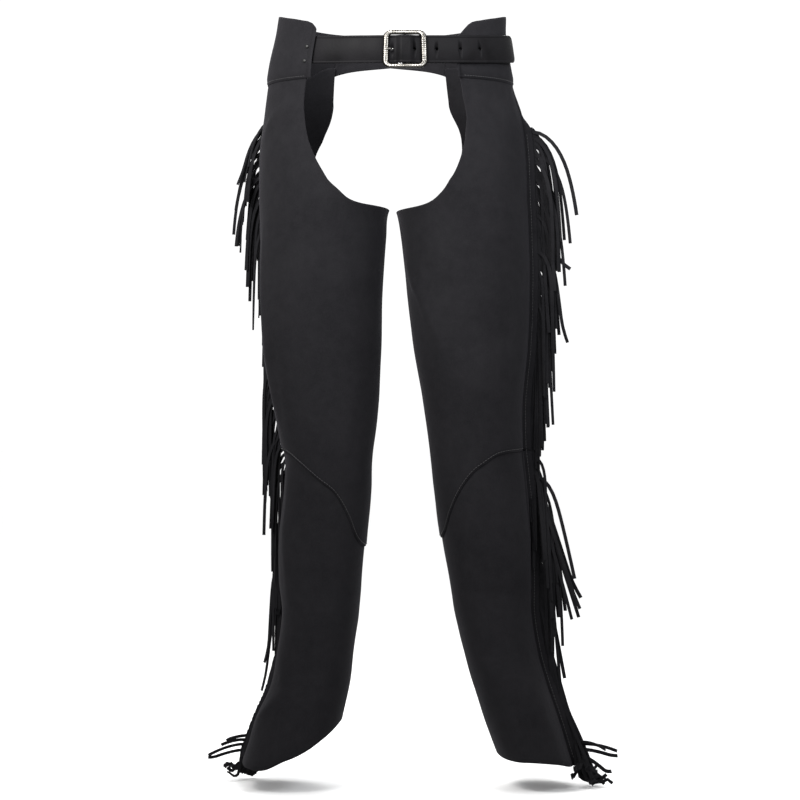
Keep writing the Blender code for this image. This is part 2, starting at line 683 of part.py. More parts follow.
def fringe(leg, panel, count, z_top, first, total, placed, look):
    """A strip between the seam's edges, with its strands grown from it as one solid.

    first is the number of strands above this strip, and total the leg's whole count.
    """
    seed = random.Random(leg.name + panel)
    heights = seam_heights(leg)
    shape = bmesh.new()

    def ring_point(z, out, side):
        point, normal, forward = seam_on_panel(leg, heights, z)
        return point + normal * out + forward * side

    def hang_line(z):
        """The strip's edge with its bends taken out, which the strands hang beside."""
        spread = [ring_point(z + step, STRIP_OUTER, 0.0) for step in HANG_SPREAD]
        middle = sum(spread, Vector()) / len(spread)
        middle.z = z
        return middle

    turn = math.radians(leg.hang)
    outward = Vector((leg.side * math.cos(turn), math.sin(turn), 0.0))
    sideways = Vector((outward.y, -outward.x, 0.0)) * leg.side
    half = STRAND_THICK / 2
    stations = []
    for k in range(count):
        middle = z_top - STRAND_PITCH * (k + 0.5)
        stations += [middle + STRAND_WIDTH / 2, middle - STRAND_WIDTH / 2]
    outer = [[shape.verts.new(ring_point(z, STRIP_OUTER, s * half)) for s in (1, -1)]
             for z in stations]
    inner = [[shape.verts.new(ring_point(z, STRIP_INNER, s * half)) for s in (1, -1)]
             for z in stations[::2] + stations[-1:]]
    for start in range(count):
        last = 2 * start + 2 if start + 1 < count else 2 * start + 1
        for side in (0, 1):
            edge = [outer[n][side] for n in range(2 * start, last + 1)]
            for a, b in zip(edge, edge[1:]):
                shape.faces.new([inner[start][side], a, b])
            shape.faces.new([inner[start][side], edge[-1], inner[start + 1][side]])
        near, far = inner[start], inner[start + 1]
        shape.faces.new([near[0], far[0], far[1], near[1]])
    shape.faces.new([outer[0][0], inner[0][0], inner[0][1], outer[0][1]])
    shape.faces.new([outer[-1][1], inner[count][1], inner[count][0], outer[-1][0]])

    for k in range(count):
        if k + 1 < count:
            a, b = outer[2 * k + 1], outer[2 * k + 2]
            shape.faces.new([a[0], a[1], b[1], b[0]])
        z_root = (stations[2 * k] + stations[2 * k + 1]) / 2
        ring = [outer[2 * k][0], outer[2 * k][1], outer[2 * k + 1][1], outer[2 * k + 1][0]]
        path = strand_path(leg, first + k, total - 1 - first - k, z_root, seed)
        places = []
        for out, along, down in path:
            places.append(hang_line(z_root - down) + outward * out + sideways * along)
        root = ring_point(z_root, STRIP_OUTER, 0.0)
        trail = [root] + places
        course = trail_points(trail)
        if placed and nearest(course, placed) < STRAND_CLEARANCE:
            shape.faces.new(ring)
            continue
        placed.extend(course)
        for n in range(1, len(trail)):
            ahead = trail[min(n + 1, len(trail) - 1)] - trail[n]
            behind = trail[n] - trail[n - 1]
            direction = (behind.normalized() + ahead.normalized()).normalized()
            lane = math.atan2(path[n - 1][1], path[n - 1][0])
            across = sideways * math.cos(lane) - outward * math.sin(lane)
            wide, thin = strand_frame(direction, across)
            if wide.dot(Vector((0, 0, 1))) < 0 and n == 1:
                wide = -wide
            if n > 1 and wide.dot(previous) < 0:
                wide = -wide
            previous = wide
            new = []
            for up, side in ((1, 1), (1, -1), (-1, -1), (-1, 1)):
                corner = trail[n] + wide * (up * STRAND_WIDTH / 2) + thin * (side * half)
                new.append(shape.verts.new(corner))
            for i in range(4):
                j = (i + 1) % 4
                shape.faces.new([ring[i], ring[j], new[j], new[i]])
            ring = new
        shape.faces.new(ring)
    bmesh.ops.recalc_face_normals(shape, faces=shape.faces)
    mesh = bpy.data.meshes.new("fringe_" + panel + "_" + leg.name)
    shape.to_mesh(mesh)
    shape.free()
    link(mesh.name, mesh, look)


def build_leg(leg, look):
    flip = leg.side > 0
    sheet("thigh_" + leg.name, thigh_rows(leg), look, flip)
    sheet("shin_" + leg.name, shin_rows(leg), look, flip)
    sheet("yoke_" + leg.name, yoke_rows(leg), look, not flip)
    shin_top = KNEE_SEAM_SIDE - SIDE_BUTT - GAP
    thigh_count = int((FRINGE_TOP - KNEE_SEAM_SIDE) / STRAND_PITCH)
    shin_count = int((shin_top - smooth_row(leg.hem, 0, 1)) / STRAND_PITCH)
    total = thigh_count + shin_count
    placed = []
    fringe(leg, "thigh", thigh_count, FRINGE_TOP, 0, total, placed, look)
    fringe(leg, "shin", shin_count, shin_top, thigh_count, total, placed, look)


def waist_angle(x):
    """The angle on the right leg's table at which the waist's front has this X."""
    return angle_of_x(RIGHT, x, WAIST)


def waist_point(angle, rise, out):
    """A point by the belt: rise above its middle, and out from the panels' face.

    The belt is straight across its width, between the surface at its two edges.
    """
    middle = BELT_TILT * surface(RIGHT, angle, WAIST)[0].y
    upper, upper_normal = surface(RIGHT, angle, middle + STRAP_WIDTH / 2)
    lower, lower_normal = surface(RIGHT, angle, middle - STRAP_WIDTH / 2)
    share = 0.5 + rise / STRAP_WIDTH
    return lower.lerp(upper, share) + lower_normal.lerp(upper_normal, 0.5).normalized() * out


def route_out(rows, x):
    """How far out a route lies at an X, level at each of its rows."""
    for (x_1, out_1), (x_2, out_2) in zip(rows, rows[1:]):
        if x <= x_2:
            return lerp(out_1, out_2, ease((x - x_1) / (x_2 - x_1)))
    return rows[-1][1]


def buckle_point(x, rise, out):
    return waist_point(waist_angle(BUCKLE_X + x), rise, out)


def solid(name, rings, look, closed=False):
    """A body from rings of points, capped at its ends or joined into a loop."""
    shape = bmesh.new()
    made = [[shape.verts.new(point) for point in ring] for ring in rings]
    for a, b in zip(made, made[1:] + made[:1] if closed else made[1:]):
        for i in range(len(a)):
            j = (i + 1) % len(a)
            shape.faces.new([a[i], a[j], b[j], b[i]])
    if not closed:
        shape.faces.new(made[0][::-1])
        shape.faces.new(made[-1])
    bmesh.ops.recalc_face_normals(shape, faces=shape.faces)
    mesh = bpy.data.meshes.new(name)
    shape.to_mesh(mesh)
    shape.free()
    return link(name, mesh, look)


def helper(name, rings):
    """A body that only cuts another one, or is added to it."""
    made = solid(name, rings, None)
    made.hide_render = True
    made.display_type = "WIRE"
    return made


def combine(body, other, operation):
    change = body.modifiers.new("shape", "BOOLEAN")
    change.operation = operation
    change.object = other


def line_normals(path):
    """Sideways directions of a bent line, lengthened at its bends."""
    normals = []
    for n, (x, y) in enumerate(path):
        before = path[max(n - 1, 0)]
        after = path[min(n + 1, len(path) - 1)]
        back = Vector((x - before[0], y - before[1])).normalized()
        ahead = Vector((after[0] - x, after[1] - y)).normalized()
        middle = (back + ahead).normalized()
        stretch = 1.0 / max(middle.dot(ahead if ahead.length > 0 else back), 0.5)
        normals.append(Vector((-middle.y, middle.x)) * stretch)
    return normals


def bar_arc(radius, first, last, steps):
    """Points round the buckle's bar, by degrees from the wearer's left."""
    points = []
    for n in range(steps + 1):
        turn = math.radians(lerp(first, last, n / steps))
        points.append((radius * math.cos(turn), BAR_OUT + radius * math.sin(turn)))
    return points


def billet(look):
    """The long end of the belt, through the buckle to its tip, with its holes."""
    bends = [
        waist_angle(BILLET_START_X), waist_angle(BUCKLE_X - BUCKLE_ZONE),
        waist_angle(BUCKLE_X + BUCKLE_ZONE), BILLET_TIP_ANGLE,
    ]
    angles = [bends[0]]
    for low, high, steps in zip(bends, bends[1:], BILLET_STEPS):
        angles += [lerp(low, high, (n + 1) / steps) for n in range(steps)]
    rings = []
    for n, angle in enumerate(angles):
        x = surface(RIGHT, angle, WAIST)[0].x - BUCKLE_X
        out = route_out(BILLET_ROUTE, x)
        near_tip = min((len(angles) - 1 - n) / 3.0, 1.0)
        half = STRAP_WIDTH / 2 * (0.35 + 0.65 * math.sqrt(1 - (1 - near_tip) ** 2))
        rings.append([
            waist_point(angle, rise * half, out + side * STRAP_THICK / 2)
            for rise, side in ((1, 1), (1, -1), (-1, -1), (-1, 1))
        ])
    made = solid("belt_billet", rings, look)
    for x in HOLES_X:
        combine(made, hole_cutter(x - BUCKLE_X), "DIFFERENCE")


def hole_cutter(x):
    rings = []
    for out in (-0.004, HUMP_OUT + STRAP_THICK):
        ring = []
        for n in range(HOLE_SIDES):
            turn = math.tau * n / HOLE_SIDES
            ring.append(buckle_point(
                x + HOLE_RADIUS * math.cos(turn), HOLE_RADIUS * math.sin(turn), out))
        rings.append(ring)
    return helper("hole_cutter", rings)


def buckle_strap(look):
    """The belt's short end, folded round the bar, with a slot for the prong."""
    arc = bar_arc(FOLD_RADIUS, -90.0, -270.0, 4)
    path = list(FOLD_BACK) + arc + list(FOLD_FRONT)
    rings = []
    for (x, out), normal in zip(path, line_normals(path)):
        ring = []
        for rise, side in ((1, 1), (1, -1), (-1, -1), (-1, 1)):
            shift = normal * (side * FOLD_THICK / 2)
            ring.append(buckle_point(x + shift.x, rise * STRAP_WIDTH / 2, out + shift.y))
        rings.append(ring)
    made = solid("belt_buckle_strap", rings, look)
    half = PRONG_RADIUS + 3 * GAP
    slot = []
    for x in (-FOLD_RADIUS - FOLD_THICK, PRONG_BEND + PRONG_RADIUS + 5 * GAP):
        slot.append([
            buckle_point(x, rise, out)
            for rise, out in ((half, 0.0), (half, 0.014), (-half, 0.014), (-half, 0.0))
        ])
    combine(made, helper("slot_cutter", slot), "DIFFERENCE")


def frame_outline(half_width, half_height, corner):
    """A rounded oblong, as points from the buckle's middle."""
    points = []
    for n in range(4):
        sign_x = (1, -1, -1, 1)[n]
        sign_z = (1, 1, -1, -1)[n]
        for step in range(CORNER_STEPS + 1):
            turn = math.radians(90.0 * n + 90.0 * step / CORNER_STEPS)
            points.append((
                sign_x * (half_width - corner) + corner * math.cos(turn),
                sign_z * (half_height - corner) + corner * math.sin(turn)))
    return points


def buckle_frame(look):
    """A domed oblong frame with a bar across its back."""
    half_x = BUCKLE_WIDTH / 2
    half_z = BUCKLE_HEIGHT / 2
    low = FRAME_OUT - BUCKLE_THICK / 2
    high = FRAME_OUT + BUCKLE_THICK / 2
    # share of the bar's width in from its outer edge, and how far out
    profile = (
        (0.0, low), (0.0, FRAME_OUT), (0.28, high),
        (0.72, high), (1.0, FRAME_OUT), (1.0, low),
    )
    loops = []
    for share, out in profile:
        outline = frame_outline(
            half_x - share * BUCKLE_SIDE_BAR, half_z - share * BUCKLE_RAIL,
            lerp(BUCKLE_CORNER, BUCKLE_WINDOW_CORNER, share))
        loops.append([buckle_point(x, rise, out) for x, rise in outline])
    rings = [list(ring) for ring in zip(*loops)]
    made = solid("buckle_frame", rings, look, closed=True)
    end = half_z - BUCKLE_RAIL / 2
    path = ((end, FRAME_OUT), (end, BAR_OUT), (-end, BAR_OUT), (-end, FRAME_OUT))
    bar = []
    for (rise, out), normal in zip(path, line_normals(path)):
        ring = []
        for n in range(BAR_SIDES):
            turn = math.tau * (n + 0.5) / BAR_SIDES
            shift = normal * (BAR_RADIUS * math.sin(turn))
            ring.append(buckle_point(
                BAR_RADIUS * math.cos(turn), rise + shift.x, out + shift.y))
        bar.append(ring)
    combine(made, helper("centre_bar", bar), "UNION")


def buckle_prong(look):
    """A bent wire: a loop round the bar, up through the billet's hole, onto the frame."""
    path = bar_arc(PRONG_BEND, 160.0, -90.0, 7) + list(PRONG_ROUTE)
    rings = []
    for (x, out), normal in zip(path, line_normals(path)):
        ring = []
        for n in range(PRONG_SIDES):
            turn = math.tau * n / PRONG_SIDES
            shift = normal * (PRONG_RADIUS * math.cos(turn))
            ring.append(buckle_point(
                x + shift.x, PRONG_RADIUS * math.sin(turn), out + shift.y))
        rings.append(ring)
    solid("buckle_prong", rings, look)


def rivet(number, x, z, look):
    """A dome on the yoke's front edge, over the belt."""
    angle = angle_of_x(RIGHT, x, z)
    centre, normal = surface(RIGHT, angle, z, YOKE_FACE + GAP)
    up = Vector((0.0, 0.0, 1.0))
    side = up.cross(normal)
    rings = []
    for share, height in RIVET_DOME:
        ring = []
        for n in range(RIVET_SIDES):
            turn = math.tau * n / RIVET_SIDES
            spread = side * math.cos(turn) + up * math.sin(turn)
            ring.append(
                centre + spread * (RIVET_RADIUS * share) + normal * (RIVET_HEIGHT * height))
        rings.append(ring)
    solid("rivet_" + str(number), rings, look)


def main():
    clear_scene()
    suede = material("black suede", (0.012, 0.012, 0.014), 0.95)
    leather = material("black leather", (0.010, 0.010, 0.010), 0.40)
    silver = material("silver metal", (0.75, 0.74, 0.72), 0.22, 1.0)
    for leg in (RIGHT, LEFT):
        build_leg(leg, suede)
    billet(leather)
    buckle_strap(leather)
    buckle_frame(silver)
    buckle_prong(silver)
    for n, (x, z) in enumerate(RIVETS):
        rivet(n + 1, x, z, silver)


main()
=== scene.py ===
"""Dressed model of the fringed suede chaps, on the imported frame.

Metres, +Z up, the front faces -Y. The leather's form comes from the same sections as
the solids, taken finer, with creases, sewing and a free-hanging fringe added.
"""

import json
import math
import random

import bmesh
import bpy
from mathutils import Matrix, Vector, noise

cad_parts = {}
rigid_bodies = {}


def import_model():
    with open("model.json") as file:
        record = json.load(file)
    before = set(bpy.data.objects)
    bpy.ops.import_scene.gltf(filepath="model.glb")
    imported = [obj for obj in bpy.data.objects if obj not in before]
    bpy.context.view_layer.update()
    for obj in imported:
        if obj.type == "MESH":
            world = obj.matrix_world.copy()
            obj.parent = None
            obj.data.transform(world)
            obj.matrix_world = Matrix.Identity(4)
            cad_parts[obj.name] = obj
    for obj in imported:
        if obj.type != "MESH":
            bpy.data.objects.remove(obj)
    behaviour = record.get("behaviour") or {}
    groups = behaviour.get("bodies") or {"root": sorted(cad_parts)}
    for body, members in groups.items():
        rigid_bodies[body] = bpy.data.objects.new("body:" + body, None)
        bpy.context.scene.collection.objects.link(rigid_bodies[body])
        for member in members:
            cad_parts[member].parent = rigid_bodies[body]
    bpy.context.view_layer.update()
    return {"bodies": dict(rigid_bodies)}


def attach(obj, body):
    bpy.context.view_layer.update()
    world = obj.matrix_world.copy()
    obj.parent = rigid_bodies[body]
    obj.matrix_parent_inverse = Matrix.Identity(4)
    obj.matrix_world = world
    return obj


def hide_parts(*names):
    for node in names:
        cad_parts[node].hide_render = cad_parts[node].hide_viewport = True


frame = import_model()
BODY = next(iter(frame["bodies"]))
bpy.ops.object.select_all(action="DESELECT")

STITCH_IN = 0.0035          # sewing lies this far in from an edge
COLUMN_FINE = 4             # columns here for each one of the solids
ROW_FINE = 6                # rows here for each one of the solids

# Driving sizes
LEATHER = 0.0018            # wall of the suede panels
GAP = 0.0003                # air between pieces that lie on each other
BELOW_SEAM = 0.006          # a row of the shin panel lies this far below the knee seam
SHIN_EASE = 0.4             # share of the shin over which it comes out from under the thigh
SEWN_BUTT = 0.0001          # pieces meet this closely where the solids leave a gap, as sewn
LAP = 0.012                 # how far one panel runs under the next
CURVE_POWER = 2.25          # 2 is an ellipse, more is squarer
SEAM_FIN = 0.012            # the outseam stands out this far from the leg
KNEE_SEAM_SIDE = -0.562     # height of the knee seam at the outseam
FLAT_BESIDE_SEAM = 0.042    # folds die out this near to the knee seam
FLOOR = -1.028              # the wearer's floor, which the fringe stays above

STRAP_WIDTH = 0.038
STRAP_THICK = 0.003
FOLD_THICK = 0.0018         # the buckle's own strap is thinned for its fold
BELT_TILT = 0.11            # the belt climbs this much for each metre to the back
HOLES_X = (-0.0056, 0.0242, 0.0538, 0.0854, 0.1111)
HOLE_RADIUS = 0.0023

BUCKLE_X = 0.0114
BUCKLE_WIDTH = 0.059
BUCKLE_HEIGHT = 0.053
BUCKLE_SIDE_BAR = 0.0085
BUCKLE_RAIL = 0.006
BUCKLE_THICK = 0.005
BUCKLE_CORNER = 0.011
BAR_RADIUS = 0.0013
PRONG_RADIUS = 0.0011
RIVET_RADIUS = 0.0027
RIVET_HEIGHT = 0.0017
RIVETS = ((-0.1200, -0.0066), (-0.1236, -0.0262))    # X and Z

STRAND_WIDTH = 0.0038
STRAND_THICK = 0.0018
STRAND_LENGTH = 0.155
STRAND_PITCH = 0.0086

# Sections of each leg: height, outermost and innermost X, front and back Y,
# and where the outseam lies, in degrees from the outer side toward the front.
# Above the crotch the innermost X is the other side of the hips.
SECTION_COLUMNS = ("z", "outer", "inner", "front", "back", "seam")
RIGHT_SECTIONS = (
    (0.060, -0.158, 0.150, -0.112, 0.113, -42),
    (0.043, -0.161, 0.151, -0.114, 0.115, -42),
    (0.018, -0.165, 0.151, -0.117, 0.118, -42),
    (-0.021, -0.174, 0.157, -0.120, 0.123, -42),
    (-0.060, -0.180, 0.165, -0.122, 0.130, -42),
    (-0.075, -0.182, 0.169, -0.123, 0.134, -42),
    (-0.100, -0.185, 0.150, -0.123, 0.139, -42),
    (-0.141, -0.191, 0.085, -0.122, 0.143, -42),
    (-0.180, -0.192, 0.035, -0.120, 0.140, -42),
    (-0.212, -0.192, 0.000, -0.117, 0.133, -42),
    (-0.230, -0.191, -0.011, -0.115, 0.127, -42),
    (-0.265, -0.190, -0.014, -0.112, 0.118, -42),
    (-0.344, -0.189, -0.0185, -0.106, 0.102, -42),
    (-0.428, -0.184, -0.0205, -0.099, 0.086, -42),
    (-0.512, -0.169, -0.0245, -0.092, 0.071, -42),
    (-0.575, -0.157, -0.032, -0.088, 0.067, -42),
    (-0.617, -0.158, -0.034, -0.083, 0.072, -42),
    (-0.680, -0.164, -0.040, -0.074, 0.085, -42),
    (-0.743, -0.164, -0.0465, -0.068, 0.091, -42),
    (-0.790, -0.160, -0.052, -0.066, 0.089, -41),
    (-0.841, -0.166, -0.059, -0.068, 0.086, -39),
    (-0.885, -0.174, -0.064, -0.077, 0.087, -36),
    (-0.939, -0.196, -0.076, -0.100, 0.091, -32),
    (-1.010, -0.219, -0.090, -0.122, 0.096, -27),
)
LEFT_SECTIONS = (
    (0.060, 0.150, -0.158, -0.112, 0.113, 6),
    (0.043, 0.151, -0.161, -0.114, 0.115, 6),
    (0.018, 0.151, -0.165, -0.117, 0.118, 6),
    (-0.021, 0.157, -0.174, -0.120, 0.123, 6),
    (-0.060, 0.165, -0.180, -0.122, 0.130, 6),
    (-0.075, 0.169, -0.182, -0.123, 0.134, 6),
    (-0.100, 0.176, -0.155, -0.123, 0.139, 6),
    (-0.141, 0.181, -0.085, -0.122, 0.143, 6),
    (-0.180, 0.183, -0.040, -0.120, 0.140, 6),
    (-0.212, 0.184, -0.009, -0.117, 0.133, 6),
    (-0.230, 0.185, 0.001, -0.115, 0.127, 6),
    (-0.265, 0.186, 0.007, -0.112, 0.118, 6),
    (-0.344, 0.186, 0.0155, -0.106, 0.102, 5),
    (-0.428, 0.183, 0.0265, -0.099, 0.086, 1),
    (-0.491, 0.1765, 0.038, -0.094, 0.074, -2),
    (-0.554, 0.177, 0.046, -0.089, 0.067, -2),
    (-0.617, 0.183, 0.053, -0.083, 0.072, 0),
    (-0.680, 0.188, 0.061, -0.074, 0.085, 2),
    (-0.743, 0.189, 0.073, -0.068, 0.091, 3),
    (-0.790, 0.189, 0.082, -0.066, 0.089, 3),
    (-0.848, 0.199, 0.0965, -0.068, 0.086, 3),
    (-0.885, 0.210, 0.107, -0.077, 0.087, 3),
    (-0.939, 0.228, 0.125, -0.100, 0.091, 3),
    (-1.010, 0.250, 0.152, -0.122, 0.096, 3),
)

# Cut edge of the front opening, from the yoke down to the crotch: X and Z
RIGHT_OPENING = (
    (-0.116, -0.033),
    (-0.124, -0.056),
    (-0.1255, -0.084),
    (-0.124, -0.114),
    (-0.117, -0.145),
    (-0.102, -0.175),
    (-0.079, -0.203),
    (-0.049, -0.221),
)
LEFT_OPENING = (
    (0.0845, -0.035),
    (0.0915, -0.070),
    (0.097, -0.103),
    (0.0955, -0.126),
    (0.093, -0.144),
    (0.0805, -0.179),
    (0.062, -0.207),
    (0.034, -0.224),
)

# Heights against the angle from the outer side: angle and Z. The knee and hem are
# the same round the back, and the yokes count their back as negative.
RIGHT_KNEE = (
    (0, -0.562), (30, -0.564), (52, -0.577), (82, -0.602), (101, -0.622),
    (120, -0.651), (139, -0.682), (160, -0.694), (180, -0.696),
)
LEFT_KNEE = (
    (0, -0.562), (40, -0.563), (66, -0.567), (82, -0.577), (97, -0.592),
    (115, -0.616), (133, -0.645), (148, -0.670), (165, -0.682), (180, -0.684),
)
RIGHT_HEM = (
    (0, -0.994), (35, -0.998), (65, -0.997), (88, -0.984), (108, -0.972),
    (128, -0.957), (155, -0.941), (180, -0.934),
)
LEFT_HEM = (
    (0, -1.000), (30, -0.996), (60, -0.990), (90, -0.987), (120, -0.987),
    (150, -0.985), (180, -0.981),
)
YOKE_TOP = (
    (-90, 0.030), (-60, 0.033), (-25, 0.041), (5, 0.0435), (30, 0.036), (42, 0.031),
    (49.5, 0.0262), (58, 0.007), (62, 0.004),
)
YOKE_BOTTOM = (
    (-90, -0.014), (-70, -0.022), (-45, -0.045), (-20, -0.052), (60, -0.050),
)

# Broad folds of the worn leather: leg, angle_1, z_1, angle_2, z_2 for their two
# ends, how far they stand out and how wide they are
FOLDS = (
    ("right", 20, -0.115, 62, -0.080, 0.0030, 0.022),
    ("right", 35, -0.250, 25, -0.500, 0.0035, 0.026),
    ("right", 70, -0.900, 20, -0.935, 0.0060, 0.024),
    ("right", 100, -0.820, 60, -0.865, -0.0050, 0.026),
    ("right", 215, -0.560, 300, -0.585, -0.0060, 0.028),
    ("right", 225, -0.240, 300, -0.215, -0.0050, 0.026),
    ("right", 250, -0.840, 320, -0.875, 0.0050, 0.026),
    ("left", 150, -0.305, 112, -0.425, 0.0045, 0.024),
    ("left", 70, -0.470, 118, -0.455, 0.0035, 0.030),
    ("left", 60, -0.915, 110, -0.880, 0.0060, 0.026),
    ("left", 40, -0.765, 105, -0.765, -0.0030, 0.018),
    ("left", 220, -0.575, 300, -0.560, -0.0060, 0.028),
    ("left", 230, -0.235, 300, -0.220, -0.0050, 0.026),
    ("left", 245, -0.860, 320, -0.885, 0.0050, 0.026),
)


class Leg:
    """The tables of one leg."""

    def __init__(self, name, side, sections, opening, knee, hem, droop, hang):
        self.name = name
        self.side = side
        self.sections = sections
        self.opening = opening
        self.knee = knee
        self.hem = hem
        self.droop = droop
        self.hang = hang
        self.front = 18.0 if side < 0 else 0.0


# The last values are how far the fringe leans out for each metre that it hangs,
# and how many degrees behind the side it points
RIGHT = Leg("right", -1, RIGHT_SECTIONS, RIGHT_OPENING, RIGHT_KNEE, RIGHT_HEM, 0.25, 40.0)
LEFT = Leg("left", 1, LEFT_SECTIONS, LEFT_OPENING, LEFT_KNEE, LEFT_HEM, 0.25, -2.0)


def lerp(a, b, t):
    return a + (b - a) * t


def ease(t):
    t = min(max(t, 0.0), 1.0)
    return t * t * (3.0 - 2.0 * t)


def smooth_row(rows, key, column):
    """One column of a table at a key in its first column, on a smooth curve."""
    keys = [row[0] for row in rows]
    if keys[0] > keys[-1]:
        rows = rows[::-1]
        keys = keys[::-1]
    values = [row[column] for row in rows]
    if key <= keys[0]:
        return values[0]
    if key >= keys[-1]:
        return values[-1]
    i = max(n for n in range(len(keys) - 1) if keys[n] <= key)

    def slope(n):
        low = max(n - 1, 0)
        high = min(n + 1, len(keys) - 1)
        return (values[high] - values[low]) / (keys[high] - keys[low])

    step = keys[i + 1] - keys[i]
    t = (key - keys[i]) / step
    rise = values[i] * (1 + 2 * t) * (1 - t) ** 2 + values[i + 1] * t * t * (3 - 2 * t)
    return rise + step * (slope(i) * t * (1 - t) ** 2 + slope(i + 1) * t * t * (t - 1))


def section(leg, z):
    values = [smooth_row(leg.sections, z, n) for n in range(1, len(SECTION_COLUMNS))]
    return dict(zip(SECTION_COLUMNS[1:], values))


def folded_angle(angle):
    """An angle round the leg as 0 to 180, the back like the front."""
    angle = angle % 360.0
    return 360.0 - angle if angle > 180.0 else angle


def signed_power(value, power):
    return math.copysign(abs(value) ** power, value)


def fold_height(leg, angle, z, girth):
    """How far the broad folds push the surface out at a place."""
    total = 0.0
    for name, angle_1, z_1, angle_2, z_2, height, width in FOLDS:
        if name != leg.name:
            continue
        along = girth / 360.0
        turn = (angle - angle_1 + 180.0) % 360.0 - 180.0
        place = Vector((turn * along, z - z_1))
        run = Vector(((angle_2 - angle_1) * along, z_2 - z_1))
        t = min(max(place.dot(run) / run.length_squared, 0.0), 1.0)
        away = (place - run * t).length / width
        total += height * math.exp(-away * away) * (0.55 + 0.45 * math.sin(math.pi * t))
    knee = smooth_row(leg.knee, folded_angle(angle), 1)
    return total * ease((abs(z - knee) - FLAT_BESIDE_SEAM) / 0.03)


# Smaller creases seen from the front: leg, X and Z of both ends, height and width
FRONT_CREASES = (
    ("right", -0.180, -0.122, -0.160, -0.090, 0.0028, 0.008),
    ("right", -0.160, -0.090, -0.132, -0.088, 0.0022, 0.009),
    ("right", -0.183, -0.255, -0.178, -0.428, 0.0022, 0.010),
    ("right", -0.178, -0.428, -0.164, -0.518, 0.0018, 0.009),
    ("right", -0.168, -0.390, -0.158, -0.518, -0.0018, 0.010),
    ("right", -0.140, -0.300, -0.120, -0.410, 0.0014, 0.018),
    ("right", -0.060, -0.270, -0.045, -0.350, -0.0015, 0.014),
    ("right", -0.055, -0.450, -0.075, -0.560, 0.0014, 0.014),
    ("right", -0.152, -0.600, -0.150, -0.760, 0.0020, 0.010),
    ("right", -0.110, -0.640, -0.100, -0.780, -0.0012, 0.018),
    ("right", -0.160, -0.861, -0.150, -0.894, 0.0034, 0.010),
    ("right", -0.150, -0.894, -0.184, -0.928, 0.0034, 0.010),
    ("right", -0.100, -0.850, -0.135, -0.880, -0.0024, 0.012),
    ("right", -0.090, -0.900, -0.140, -0.915, 0.0022, 0.010),
    ("left", 0.018, -0.313, 0.036, -0.351, 0.0026, 0.008),
    ("left", 0.036, -0.351, 0.060, -0.409, 0.0026, 0.009),
    ("left", 0.060, -0.409, 0.070, -0.432, 0.0018, 0.009),
    ("left", 0.063, -0.324, 0.082, -0.347, -0.0018, 0.007),
    ("left", 0.100, -0.250, 0.140, -0.310, 0.0012, 0.018),
    ("left", 0.150, -0.330, 0.155, -0.460, -0.0016, 0.012),
    ("left", 0.090, -0.460, 0.110, -0.540, 0.0014, 0.016),
    ("left", 0.112, -0.757, 0.171, -0.757, -0.0018, 0.006),
    ("left", 0.120, -0.700, 0.165, -0.716, 0.0014, 0.010),
    ("left", 0.110, -0.830, 0.160, -0.846, -0.0022, 0.010),
    ("left", 0.135, -0.870, 0.190, -0.890, 0.0026, 0.010),
    ("left", 0.140, -0.905, 0.215, -0.925, -0.0022, 0.011),
)
# The same on the hidden sides: leg, angle and Z of both ends, height and width
BACK_CREASES = (
    ("right", 225, -0.575, 262, -0.590, -0.0034, 0.010),
    ("right", 250, -0.555, 292, -0.562, -0.0030, 0.011),
    ("right", 232, -0.612, 285, -0.628, 0.0026, 0.011),
    ("right", 214, -0.250, 256, -0.236, -0.0030, 0.012),
    ("right", 230, -0.280, 280, -0.300, 0.0020, 0.014),
    ("right", 196, -0.330, 208, -0.420, -0.0018, 0.011),
    ("right", 258, -0.380, 270, -0.500, 0.0016, 0.016),
    ("right", 240, -0.835, 290, -0.850, 0.0028, 0.010),
    ("right", 225, -0.865, 270, -0.882, -0.0026, 0.010),
    ("right", 190, -0.760, 205, -0.840, 0.0018, 0.012),
    ("left", 222, -0.566, 266, -0.582, -0.0034, 0.010),
    ("left", 248, -0.604, 300, -0.590, 0.0026, 0.011),
    ("left", 262, -0.545, 318, -0.552, -0.0028, 0.011),
    ("left", 218, -0.244, 262, -0.228, -0.0030, 0.012),
    ("left", 240, -0.290, 300, -0.270, 0.0020, 0.014),
    ("left", 192, -0.340, 204, -0.440, -0.0018, 0.011),
    ("left", 300, -0.350, 312, -0.470, 0.0016, 0.016),
    ("left", 235, -0.842, 288, -0.862, 0.0028, 0.010),
    ("left", 260, -0.880, 325, -0.872, -0.0026, 0.010),
    ("left", 205, -0.740, 196, -0.830, 0.0018, 0.012),
)
CREASES = {"right": [], "left": []}


def fill_creases():
    """Both tables as angles, with a wandering middle for each crease."""
    for name, x_1, z_1, x_2, z_2, height, width in FRONT_CREASES:
        leg = RIGHT if name == "right" else LEFT
        CREASES[name].append((
            angle_of_x(leg, x_1, z_1), z_1, angle_of_x(leg, x_2, z_2), z_2, height, width))
    for name, *crease in BACK_CREASES:
        CREASES[name].append(tuple(crease))


